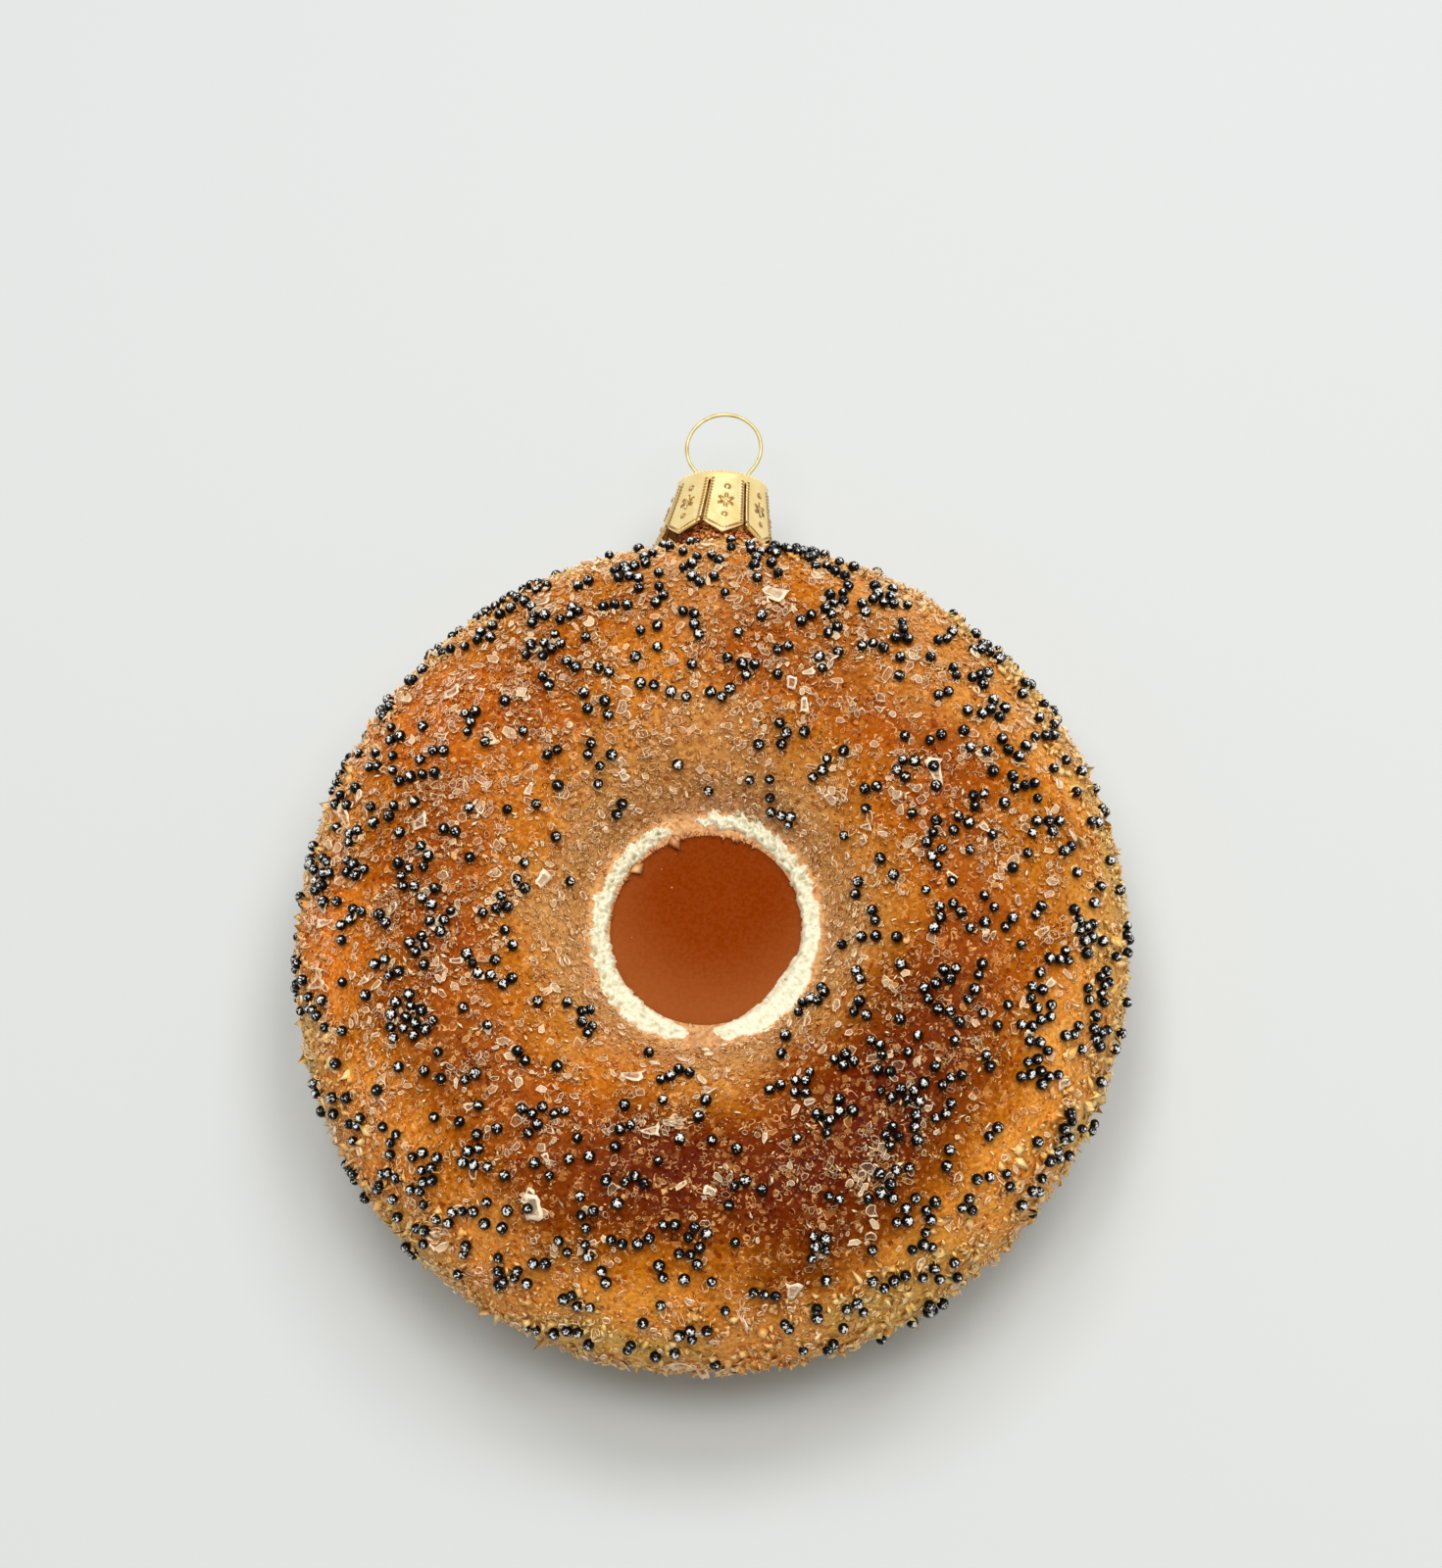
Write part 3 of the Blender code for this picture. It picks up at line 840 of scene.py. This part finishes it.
def thinFlakes(name):
    # small thin plates lying at all angles
    own, rng = begun(name)
    points, normals, far = scatterOnCoat(own["count"], rng, (0.1, 0.5))
    count = len(points)
    size = unevenSizes(own, rng, count, 1.6) * (0.75 + 0.25 * far)
    sizes = np.stack([size * rng.uniform(0.8, 1.3, count), size * rng.uniform(0.5, 0.9, count)], axis=1)
    sizes = np.column_stack([sizes, rng.uniform(0.05, 0.1, count)])
    turns = turnsAbout(normals, rng, 0.6)
    tones = rng.random(count) ** 1.5
    shapes = plateShapes(rng, (5, 5, 6), (0.17, 0.25))
    mesh = joinedCopies(name, shapes, points, turns, sizes, tones, rng)
    return addPiece(name, mesh, plateMaterial(name, own["tint"], own["tinted"], (0.0, 0.5)))


def clearPlates():
    own, rng = begun("clearPlates")
    points, normals, _ = scatterOnCoat(own["count"], rng, (0.25, 0.6), fewerAtHole=0.3)
    count = len(points)
    size = unevenSizes(own, rng, count, 2)
    sizes = np.stack([size, size * rng.uniform(0.45, 0.9, count), size * 0.4], axis=1)
    turns = turnsAbout(normals, rng, 0.35)
    material = plateMaterial("clear glass plates", own["tint"], own["tinted"], (0.03, 0.5))
    tones = rng.random(count) ** 2
    shapes = plateShapes(rng, (6, 7, 8), (0.13, 0.2))
    mesh = joinedCopies("clearPlates", shapes, points, turns, sizes, tones, rng)
    return addPiece("clearPlates", mesh, material)


def largeShards():
    own, rng = begun("largeShards")
    points, normals, _ = scatterOnCoat(own["count"], rng, (0.3, 0.6), 6.5, form["rimRadius"] + 3)
    count = len(points)
    size = unevenSizes(own, rng, count, 2.5)
    sizes = np.stack([size, size * rng.uniform(0.5, 0.9, count), size * 0.7], axis=1)
    turns = turnsAbout(normals, rng, 0.4)
    material = plateMaterial("bent glass shards", own["tint"], own["tinted"], (0.04, 0.3), 0.9)
    mesh = joinedCopies("largeShards", shardShapes(rng), points, turns, sizes, rng.random(count), rng)
    return addPiece("largeShards", mesh, material)


def rimCrystals():
    # coarser yellow chips all round the widest part, which make the jagged outline
    own, rng = begun("rimCrystals")
    count = own["count"]
    angle = np.radians(rng.uniform(-12, 42, count))
    points, normals = onCoat(angle, rng.random(count) * math.tau, rng.uniform(0.1, 0.55, count))
    keep = clearOfNeck(points, 6.5)
    points, normals = points[keep], normals[keep]
    count = len(points)
    size = unevenSizes(own, rng, count, 1.8)
    sizes = size[:, None] * rng.uniform(0.6, 1.2, (count, 3)) * np.array([1.1, 0.7, 0.5])
    turns = turnsAbout(normals, rng, 0.9)
    material = sliverMaterial("yellow rim glass", own["tint"], own["tinted"])
    mesh = joinedCopies("rimCrystals", grainShapes(rng), points, turns, sizes, rng.random(count), rng)
    return addPiece("rimCrystals", mesh, material)


def neckCrystals():
    # orange chips on the neck, seen between the cap's points
    own, rng = begun("neckCrystals")
    count = own["count"]
    turn = rng.random(count) * math.tau
    rise = rng.random(count)
    radius = 4.75 - 0.75 * rise + 1.6 * (1 - rise) ** 6
    along = neckFoot() - 0.55 + 3.4 * rise
    points = np.stack([radius * np.sin(turn), along, radius * np.cos(turn)], axis=1)
    normals = np.stack([np.sin(turn), np.full(count, 0.3), np.cos(turn)], axis=1)
    normals /= np.linalg.norm(normals, axis=1, keepdims=True)
    sizes = rng.uniform(*own["size"], (count, 3))
    turns = turnsAbout(normals, rng, 0.7)
    mesh = joinedCopies("neckCrystals", grainShapes(rng), points, turns, sizes, rng.random(count), rng)
    material = twoTones("orange neck crystals", (196, 84, 22), (240, 164, 96), 0.25)
    return addPiece("neckCrystals", mesh, material)


# poppy seeds: small round glass beads, alone and in short chains

seeds = {
    "seed": 21,
    "radius": (0.5, 0.63),
    "clumps": 750,
    "places": 4000,  # how many the clumps are drawn from
    "lowest": math.radians(-8),
    "chain": 0.95,  # mean number of further beads in a clump
    "longest": 8,
    "cell": 1.3,  # beads are looked for in cells a little wider than the largest of them
    "lift": (0.58, 0.74),
    "neckGap": 5.5,
}


def seedMaterial():
    nodes = Nodes("black glass beads")
    where = nodes.places()
    colour = nodes.mix(nodes.noise(where, 900, 1), linear(3, 4, 4), linear(10, 11, 11))
    # painted highlight: a pale speckled patch where each bead faces the lamps
    highlightFlecks = nodes.spread(nodes.noise(where, 4200, 2), 0.32, 0.68, -0.4, 0.4)
    paintedHighlight = nodes.spread(nodes.math("ADD", nodes.kept("paintedHighlight"), highlightFlecks), 0.45, 0.53, 0.0, 0.95)
    colour = nodes.mix(paintedHighlight, colour, linear(232, 231, 225))
    nodes.set(Base_Color=colour, Roughness=0.1, IOR=1.28)
    nodes.bump(nodes.noise(where, 3200, 2), 0.3, 0.0002)
    return nodes.material


def nextBead(clump, rng):
    # a bead that touches one of the clump, on the side nearest to the first
    angle, turn, size = clump[rng.integers(len(clump))]
    newSize = rng.uniform(*seeds["radius"])
    step = size + newSize
    half = float(halfWidth(math.cos(angle)))
    around = form["tubeRadius"] + half * math.cos(angle)
    tries = []
    for heading in rng.random(3) * math.tau:
        nextAngle = angle + step * math.sin(heading) / half
        nextTurn = turn + step * math.cos(heading) / around
        away = math.hypot((nextAngle - clump[0][0]) * half, (nextTurn - clump[0][1]) * around)
        if away > 0.95 * step:
            tries.append((away, nextAngle, nextTurn, newSize))
    return min(tries)[1:] if tries else None


def cellOf(spot):
    return tuple(int(value // seeds["cell"]) for value in spot)


def isFree(cells, spot, size):
    # whether no other bead is in the way
    x, y, z = cellOf(spot)
    for step in np.ndindex(3, 3, 3):
        key = (x + step[0] - 1, y + step[1] - 1, z + step[2] - 1)
        for other, otherSize in cells.get(key, []):
            if np.linalg.norm(spot - other) <= 0.93 * (size + otherSize):
                return False
    return True


def beadPlaces(rng):
    # angle round the tube, turn and radius of every bead
    top = form["rimRadius"] + 1.0
    angle, turn = coatPlaces(seeds["places"], rng, top, seeds["lowest"])
    points, _ = onCoat(angle, turn, 0.0)
    radius = np.hypot(points[:, 0], points[:, 1])
    weight = 0.75 * np.where(points[:, 2] > 0, np.clip((radius - 12) / 10, 0.35, 1), 1)
    # and fewer down the sides
    weight *= np.clip(0.12 + 0.085 * points[:, 2], 0.12, 1)
    weight = np.clip(weight, 0.05, None)
    starts = rng.choice(len(points), seeds["clumps"], replace=False, p=weight / weight.sum())
    beads = []
    cells = {}
    for start in starts:
        clump = [(angle[start], turn[start], rng.uniform(*seeds["radius"]))]
        wanted = 1 + min(seeds["longest"], int(rng.exponential(seeds["chain"])))
        for attempt in range(wanted * 5):
            bead = nextBead(clump, rng) if attempt else clump[0]
            if not bead:
                continue
            spot = onCoat(np.array([bead[0]]), np.array([bead[1]]), 0.6)[0][0]
            if seeds["lowest"] < bead[0] < tubeAngle(top) and isFree(cells, spot, bead[2]):
                cells.setdefault(cellOf(spot), []).append((spot, bead[2]))
                beads.append(bead)
                if attempt:
                    clump.append(bead)
            elif not attempt:
                break
            if len(clump) == wanted:
                break
    return np.array(beads)


def poppySeeds():
    rng = np.random.default_rng(seeds["seed"])
    beads = beadPlaces(rng)
    points, normals = onCoat(beads[:, 0], beads[:, 1], rng.uniform(*seeds["lift"], len(beads)))
    keep = clearOfNeck(points, seeds["neckGap"])
    points, normals, size = points[keep], normals[keep], beads[keep][:, 2]
    bm = bmesh.new()
    bmesh.ops.create_icosphere(bm, subdivisions=2, radius=1)
    shape = shapeArrays(bm)
    sizes = size[:, None] * rng.uniform(0.96, 1.04, (len(size), 3))
    turns = turnsAbout(normals, rng, 0.5)
    mesh = joinedCopies("poppySeeds", [shape], points, turns, sizes, rng.random(len(size)), rng)
    # painted highlight: how much each vertex faces outwards and to the lamps, less from bead to bead
    facing = 0.45 * normals + 0.55 * np.array([0.16, -0.2, 0.96])
    facing /= np.linalg.norm(facing, axis=1, keepdims=True)
    place = meshPlaces(mesh).reshape(-1, len(shape[0]), 3)
    outward = place - place.mean(axis=1, keepdims=True)
    outward /= np.linalg.norm(outward, axis=2, keepdims=True)
    least = 1 - 0.15 * rng.random(len(size)) ** 1.4
    paintedHighlight = 2.5 * (np.einsum("ijk,ik->ij", outward, facing) - least[:, None])
    saveLayer(mesh, "paintedHighlight", np.clip(0.5 + paintedHighlight, 0, 1))
    return addPiece("poppySeeds", mesh, seedMaterial(), smooth=True)


# thick cream paint round the web, brushed on in two strokes

cream = {
    "seed": 31,
    # along each stroke: turn in degrees, inner and outer edge in millimetres, and how lumpy
    "left": [
        (110, 10.25, 10.95, 1.0), (116, 9.90, 11.52, 1.0), (135, 9.78, 11.42, 1.0), (150, 9.68, 11.22, 1.0),
        (165, 9.68, 11.42, 0.9), (180, 9.63, 11.52, 0.8), (200, 9.48, 11.62, 0.9), (215, 9.43, 11.82, 0.7),
        (235, 9.38, 11.82, 0.5), (250, 9.50, 11.62, 0.3), (258, 9.85, 11.25, 0.2), (263, 10.35, 10.95, 0.1),
    ],
    "right": [
        (275, 9.85, 10.55, 0.1), (281, 9.60, 11.32, 0.1), (290, 9.38, 11.42, 0.15), (300, 8.98, 11.87, 0.2),
        (312, 8.88, 11.87, 0.2), (325, 8.58, 11.77, 0.2), (333, 8.78, 11.67, 0.3), (341, 8.88, 11.32, 0.3),
        (345, 9.28, 11.32, 0.3), (360, 9.38, 11.32, 0.4), (378, 9.38, 11.32, 0.6), (392, 9.48, 11.42, 0.9),
        (405, 9.68, 11.62, 1.0), (420, 9.88, 11.82, 1.0), (435, 10.08, 11.82, 1.0), (448, 10.28, 11.72, 1.0),
        (458, 10.65, 11.25, 1.0),
    ],
    "across": 16,
}


def creamMaterial():
    nodes = Nodes("thick cream paint")
    where = nodes.places()
    dents = nodes.noise(where, 1500, 3)
    colour = nodes.mix(nodes.spread(dents, 0.3, 0.48), linear(218, 211, 170), linear(236, 230, 200))
    # painted shade: greenish grey in the hollows between the lumps
    colour = nodes.mix(nodes.kept("hollowShade"), colour, linear(142, 134, 82))
    rough = nodes.spread(dents, 0.3, 0.7, 0.35, 0.5)
    nodes.set(Base_Color=colour, Roughness=rough, IOR=1.5)
    nodes.bump(nodes.noise(where, 1800, 3), 0.4, 0.00025)
    return nodes.material


def creamStrokes():
    rng = np.random.default_rng(cream["seed"])
    whole = bmesh.new()
    for side in ("left", "right"):
        turns, inner, outer, lumpy = (np.array(column, dtype=float) for column in zip(*cream[side]))
        long = int((turns[-1] - turns[0]) * 1.6)
        teeth = rng.uniform(-1, 1, long + 1)
        nicks = rng.uniform(-1, 1, long + 1)
        bm = bmesh.new()
        hollowShade = bm.verts.layers.float.new("hollowShade")
        bmesh.ops.create_grid(bm, x_segments=long, y_segments=cream["across"], size=1)
        for vert in bm.verts:
            along = (vert.co.x + 1) / 2
            across = (vert.co.y + 1) / 2
            degrees = turns[0] + (turns[-1] - turns[0]) * along
            rough = float(np.interp(degrees, turns, lumpy))
            column = int(round(along * long))
            turn = math.radians(degrees)
            heading = Vector((math.cos(turn), math.sin(turn), 0))
            low = float(np.interp(degrees, turns, inner)) + nicks[column] * (0.03 + 0.06 * rough)
            low += 0.5 * rough * noise.noise(heading * 14 + Vector((3, 0, 0)))
            high = float(np.interp(degrees, turns, outer)) + teeth[column] * (0.08 + 0.1 * rough)
            high += (0.2 + 0.5 * rough) * noise.noise(heading * 11 + Vector((0, 7, 0)))
            radius = low + (high - low) * across
            flat = Vector((radius * math.cos(turn), radius * math.sin(turn) * form["stretch"], 0))
            crown = max(0.0, math.sin(math.pi * across)) ** 0.4
            crown *= min(1.0, 16 * along, 16 * (1 - along)) ** 0.5
            lumps = noise.noise(flat * 1.3) * 0.4 + noise.noise(flat * 2.8) * 0.4
            # painted shade in the hollows between lumps, more where the stroke is lumpy
            vert[hollowShade] = min(1.0, max(0.0, -0.15 - 3.2 * lumps)) * (0.3 + 0.7 * rough)
            ridge = 0.12 * math.sin(across * math.pi * 2 + 1.2 * noise.noise(flat * 0.5))
            swell = 0.34 + 0.3 * rough + lumps * (0.2 + 1.1 * rough) + ridge * (1 - 0.5 * rough)
            thick = -0.1 + crown * swell
            vert.co = flat + Vector((0, 0, ledgeHeight(radius) + thick))
        bmesh.ops.recalc_face_normals(bm, faces=bm.faces)
        mesh = meshFrom("stroke", bm)
        whole.from_mesh(mesh)
        bpy.data.meshes.remove(mesh)
    return addPiece("creamStrokes", placedMesh("creamStrokes", whole), creamMaterial(), smooth=True)


chips = {
    "seed": 37,
    "turns": ((60, 175, 40), (215, 420, 12)),  # from and to in degrees, and how many
    "length": (0.25, 0.6),
    # the three large ones above, which come last
    "large": {
        "turn": (111, 109, 139),
        "length": (0.95, 0.7, 0.85),
        "radius": (9.5, 9.75, 9.35),
        "swing": (0.05, 0.6, 1.2),
        "tone": (0.2, 0.4, 1.0),
    },
}


def ledgeChips():
    # tan chips that overhang the edge of the copper, most of them above and on the left
    rng = np.random.default_rng(chips["seed"])
    large = chips["large"]
    turn = [rng.uniform(*stretch) for stretch in chips["turns"]]
    turn = np.radians(np.concatenate([*turn, large["turn"]]))
    count = len(turn)
    length = rng.uniform(*chips["length"], count)
    length[-3:] = large["length"]
    radius = 9.62 + rng.uniform(-0.1, 0.35, count)
    radius[-3:] = large["radius"]
    height = np.array([ledgeHeight(max(one, 9.55)) for one in radius]) + 0.04
    height[-3:] += 0.1
    points = polar(radius, turn, height) * (1, form["stretch"], 1)
    # each one points inwards, a little to one side, and lies flat
    inward = polar(-1.0, turn, np.zeros(count))
    up = np.tile([0.0, 0.0, 1.0], (count, 1))
    swing = rng.normal(0, 0.45, count)
    swing[-3:] = large["swing"]
    swing = swing[:, None]
    ahead = inward * np.cos(swing) + np.cross(up, inward) * np.sin(swing)
    turns = np.stack([ahead, np.cross(up, ahead), up], axis=2)
    sizes = np.stack([length, length * rng.uniform(0.4, 0.8, count), np.full(count, 0.1)], axis=1)
    tones = rng.random(count)
    tones[-3:] = large["tone"]
    mesh = joinedCopies("ledgeChips", grainShapes(rng), points, turns, sizes, tones, rng)
    return addPiece("ledgeChips", mesh, twoTones("tan ledge chips", (184, 108, 52), (222, 164, 108), 0.4))


# stamped cap

cap = {
    "petals": 8,
    "columns": 28,  # for each petal, two of them the slot
    "turn": math.radians(12.5),
    "lean": math.radians(2),
    "slant": 0.07,
    "topRadius": 4.7,
    "footRadius": 6.2,
    "height": 7.5,
    "collar": 1.1,
    "point": 1.4,
    "sheet": 0.24,
    "rows": 52,
    # radius and height of the top, from the middle out
    "top": [(0.0, 0.25), (1.2, 0.24), (2.4, 0.2), (3.4, 0.12), (4.25, 0.02), (4.55, -0.08)],
    "balls": (64, 4.6, 0.15),  # how many, on which radius and how large
}

# what is stamped on each petal, in millimetres
stamp = {
    "dots": ((2.0, 0.36, 0.2), (5.4, 0.34, 0.2), (3.7, 0.2, 0.14)),  # how far down, how wide and how high
    "star": 3.7,
    "ray": (0.17, 0.2),
    "bead": 0.36,  # from one bead of the edge to the next
    "border": 0.12,
}


def goldMaterial(name, colour, dark, flankShade=None):
    nodes = Nodes(name)
    where = nodes.places()
    tone = nodes.spread(nodes.noise(where, 700, 3), 0.3, 0.7)
    shade = nodes.mix(tone, linear(*dark), linear(*colour))
    if flankShade:
        # painted shade on the steep flanks of the relief
        foot = nodes.spread(nodes.kept("flankShade"), 0.15, 0.9, 0.0, 0.9)
        shade = nodes.mix(foot, shade, linear(*flankShade))
    rough = nodes.spread(nodes.noise(where, 1800, 2), 0.3, 0.7, 0.34, 0.48)
    nodes.set(Base_Color=shade, Roughness=rough, Metallic=0.4)
    nodes.bump(nodes.noise(where, 2500, 2), 0.12, 0.0001)
    return nodes.material


def capRadius(drop):
    lean = cap["footRadius"] - cap["topRadius"]
    return cap["topRadius"] + lean * (max(0.0, drop) / cap["height"]) ** 1.2


def knob(apart, size, high):
    return high * max(0.0, 1 - (apart / size) ** 2)


def beadedEdge(apart, run):
    beads = 0.05 + 0.05 * math.cos(run * math.tau / stamp["bead"])
    return knob(apart, 0.15, 0.06 + beads)


def relief(across, drop, half, foot):
    # dots, a six-pointed star and beaded edges
    heights = [knob(math.hypot(across, drop - low), size, high) for low, size, high in stamp["dots"]]
    about = math.atan2(across, drop - stamp["star"])
    arm = round(about / (math.tau / 6)) * math.tau / 6
    reach = math.hypot(across, drop - stamp["star"])
    along = reach * math.cos(about - arm)
    ray = knob(reach * math.sin(about - arm), *stamp["ray"])
    heights.append(ray * max(0.0, 1 - abs((along - 0.55) / 0.36) ** 3))
    if drop > 1.0:
        heights.append(beadedEdge(half - abs(across) - 0.36, drop))
    heights.append(beadedEdge(foot - drop - 0.32, across))
    heights.append(0.06 if half - abs(across) < stamp["border"] else 0.0)
    return max(heights)


def steepness(across, drop, half, foot, step=0.09):
    wide = relief(across + step, drop, half, foot) - relief(across - step, drop, half, foot)
    high = relief(across, drop + step, half, foot) - relief(across, drop - step, half, foot)
    return abs(wide) + abs(high)


def addBall(bm, place, size):
    made = bmesh.ops.create_icosphere(bm, subdivisions=2, radius=size)["verts"]
    bmesh.ops.translate(bm, verts=made, vec=place)


def stampedCap():
    # the last colour is the painted shade on the relief's flanks
    gold = goldMaterial("stamped gold sheet", (255, 234, 172), (252, 222, 146), (150, 98, 26))
    drops = [cap["height"] * (step / cap["rows"]) for step in range(2, cap["rows"] + 1)]
    columns = cap["petals"] * cap["columns"]
    bm = turned(cap["top"] + [(capRadius(drop), -drop) for drop in drops], columns)
    flankShade = bm.verts.layers.float.new("flankShade")
    # petals: open the slots, then draw the lower edge down into points
    slot = []
    pitch = math.tau / cap["petals"]
    slotHalf = math.tau / columns
    for face in bm.faces:
        middle = face.calc_center_median()
        turn = math.atan2(middle.y, middle.x) % pitch
        if turn < 2 * slotHalf and -middle.z > cap["collar"]:
            slot.append(face)
    bmesh.ops.delete(bm, geom=slot, context="FACES")
    for vert in bm.verts:
        drop = -vert.co.z
        if drop < cap["collar"] - 0.2:
            continue
        turn = (math.atan2(vert.co.y, vert.co.x) - slotHalf) % pitch - pitch / 2
        share = abs(turn) / (pitch / 2)  # 1 at the slots, 0 in the middle of a petal
        foot = cap["height"] - cap["point"] * share
        drawn = (drop - cap["collar"]) * (foot - cap["collar"])
        drop = cap["collar"] + drawn / (cap["height"] - cap["collar"])
        radius = capRadius(drop)
        spot = (turn * radius, drop, pitch / 2 * radius, foot)
        # painted shade: the steeper the relief here, the darker
        vert[flankShade] = min(1.0, steepness(*spot) / 0.18)
        flat = math.hypot(vert.co.x, vert.co.y)
        radius += relief(*spot)
        vert.co = Vector((vert.co.x / flat * radius, vert.co.y / flat * radius, -drop))
    spin = Matrix.Rotation(cap["turn"] - math.pi / 2 + pitch / 2 - slotHalf, 3, "Z")
    bmesh.ops.rotate(bm, verts=bm.verts, matrix=spin)
    sheet = bmesh.new()
    mesh = meshFrom("sheet", bm)
    sheet.from_mesh(mesh)
    bpy.data.meshes.remove(mesh)
    bmesh.ops.solidify(sheet, geom=list(sheet.faces), thickness=cap["sheet"])
    bmesh.ops.recalc_face_normals(sheet, faces=sheet.faces)
    count, out, size = cap["balls"]
    for step in range(count):
        turn = step / count * math.tau
        addBall(sheet, Vector((out * math.sin(turn), -out * math.cos(turn), -0.14)), size)
    for vert in sheet.verts:
        vert.co.x += vert.co.z * cap["slant"]
    leaning = Matrix.Rotation(-cap["lean"], 3, "Z") @ upFromFront
    bmesh.ops.rotate(sheet, verts=sheet.verts, matrix=leaning)
    bmesh.ops.translate(sheet, verts=sheet.verts, vec=(0, form["capTop"], 0))
    piece = addPiece("stampedCap", placedMesh("stampedCap", sheet), gold, smooth=True)
    piece.data.set_sharp_from_angle(angle=math.radians(60))
    return piece


# wire loop

wire = {
    "radius": 0.2,
    "loop": 3.9,
    "rise": 4.55,
    "open": math.radians(52),
    "spread": 2.3,
    "depth": 5.5,
    "loopSteps": 96,
    "legSteps": 12,
}


def wireLoop():
    gap = wire["open"]
    loop = []
    for step in range(wire["loopSteps"] + 1):
        turn = gap + (math.tau - 2 * gap) * step / wire["loopSteps"]
        high = wire["rise"] - wire["loop"] * math.cos(turn)
        loop.append(Vector((wire["loop"] * math.sin(turn), high, 0)))
    end = loop[0]
    heading = Vector((-math.cos(gap), -math.sin(gap), 0))
    foot = Vector((wire["spread"], 0, 0))
    leg = []
    for step in range(1, wire["legSteps"] + 1):
        share = step / wire["legSteps"]
        left = 1 - share
        leg.append(
            end * left**3
            + (end + heading) * 3 * left**2 * share
            + (foot + Vector((0, 1, 0))) * 3 * left * share**2
            + foot * share**3
        )
    leg.append(Vector((wire["spread"], -wire["depth"], 0)))
    route = list(reversed(leg)) + loop + [Vector((-point.x, point.y, 0)) for point in leg]
    curve = bpy.data.curves.new("wireLoop", "CURVE")
    curve.dimensions = "3D"
    curve.bevel_depth = wire["radius"] * mm
    curve.bevel_resolution = 4
    curve.use_fill_caps = True
    spline = curve.splines.new("POLY")
    spline.points.add(len(route) - 1)
    for knot, place in zip(spline.points, route):
        spot = centre + (place + Vector((0, form["capTop"], 0))) * mm
        knot.co = (*spot, 1)
    piece = link("wireLoop", curve)
    curve.materials.append(goldMaterial("gold wire", (232, 214, 156), (196, 176, 112)))
    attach(piece, "root")
    return piece


# pieces

bodyPieces = [
    glassShell(),
    neckGlass(),
    fineGrains(),
    thinSlivers("slivers"),
    thinSlivers("needles"),
    thinFlakes("glassFlakes"),
    thinFlakes("amberFlakes"),
    clearPlates(),
    largeShards(),
    rimCrystals(),
    neckCrystals(),
    poppySeeds(),
    creamStrokes(),
    ledgeChips(),
]
for piece in bodyPieces:
    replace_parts(piece, "glass_body")
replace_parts(stampedCap(), "cap")
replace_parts(wireLoop(), "hanger_ring")
print("pieces made")


# floor, light and camera

studio = {
    "floor": (206, 209, 208),
    "world": 0.34,
    # how each lamp stands from the body's centre in metres, how wide and how strong it is
    "panes": {
        "pane left": ((-0.08, 0.30, 0.74), 0.27, 1.66),
        "pane right": ((0.24, 0.30, 0.73), 0.27, 1.66),
        "pane low left": ((-0.08, -0.02, 0.78), 0.27, 1.7),
        "pane low right": ((0.24, -0.02, 0.77), 0.27, 1.7),
    },
    "distance": 380,
    "tilt": (4.7, 17.4),  # degrees to +X and to -Y from the front's axis
    "aim": (1.02, 16.44),  # picture's middle, right and above the body's centre
    "lean": 1.5,
    "high": 157,  # millimetres that the picture's height takes in
}


def layFloor():
    bm = bmesh.new()
    bmesh.ops.create_grid(bm, x_segments=8, y_segments=8, size=4)
    floor = link("studioFloor", meshFrom("studioFloor", bm))
    nodes = Nodes("floor")
    nodes.set(Base_Color=linear(*studio["floor"]), Roughness=0.9)
    floor.data.materials.append(nodes.material)


def addLamp(name, place, size, energy):
    lamp = bpy.data.lights.new(name, "AREA")
    lamp.shape = "DISK"
    lamp.size = size
    lamp.energy = energy
    thing = link(name, lamp)
    thing.location = centre + Vector(place)
    thing.rotation_euler = (-Vector(place)).to_track_quat("-Z", "Y").to_euler()


def lightStudio():
    world = bpy.data.worlds.new("studio")
    bpy.context.scene.world = world
    world.use_nodes = True
    back = world.node_tree.nodes["Background"]
    back.inputs["Color"].default_value = (1.0, 0.985, 0.96, 1)
    back.inputs["Strength"].default_value = studio["world"]
    # a window of four panes, so that each bead shows several small lights
    for name, (place, size, energy) in studio["panes"].items():
        addLamp(name, place, size, energy)
    bpy.context.scene.view_settings.view_transform = "Standard"


def placeCamera():
    sideways, down = (math.radians(angle) for angle in studio["tilt"])
    away = Vector((math.tan(sideways), -math.tan(down), 1)).normalized()
    right = Vector((0, 1, 0)).cross(away).normalized()
    up = away.cross(right).normalized()
    lean = math.radians(studio["lean"])
    across, down = right * math.sin(lean), up * math.sin(lean)
    right, up = right * math.cos(lean) + down, up * math.cos(lean) - across
    place = centre + away * studio["distance"] * mm
    target = centre + (right * studio["aim"][0] + up * studio["aim"][1]) * mm
    back = (place - target).normalized()
    right = up.cross(back).normalized()
    up = back.cross(right)
    lens = bpy.data.cameras.new("camera")
    lens.sensor_width = 36
    lens.lens = 36 * studio["distance"] / studio["high"]
    lens.clip_start = 0.01
    camera = link("camera", lens)
    camera.matrix_world = Matrix(
        (
            (right.x, up.x, back.x, place.x),
            (right.y, up.y, back.y, place.y),
            (right.z, up.z, back.z, place.z),
            (0, 0, 0, 1),
        )
    )
    bpy.context.scene.camera = camera


layFloor()
lightStudio()
placeCamera()
print("studio set")
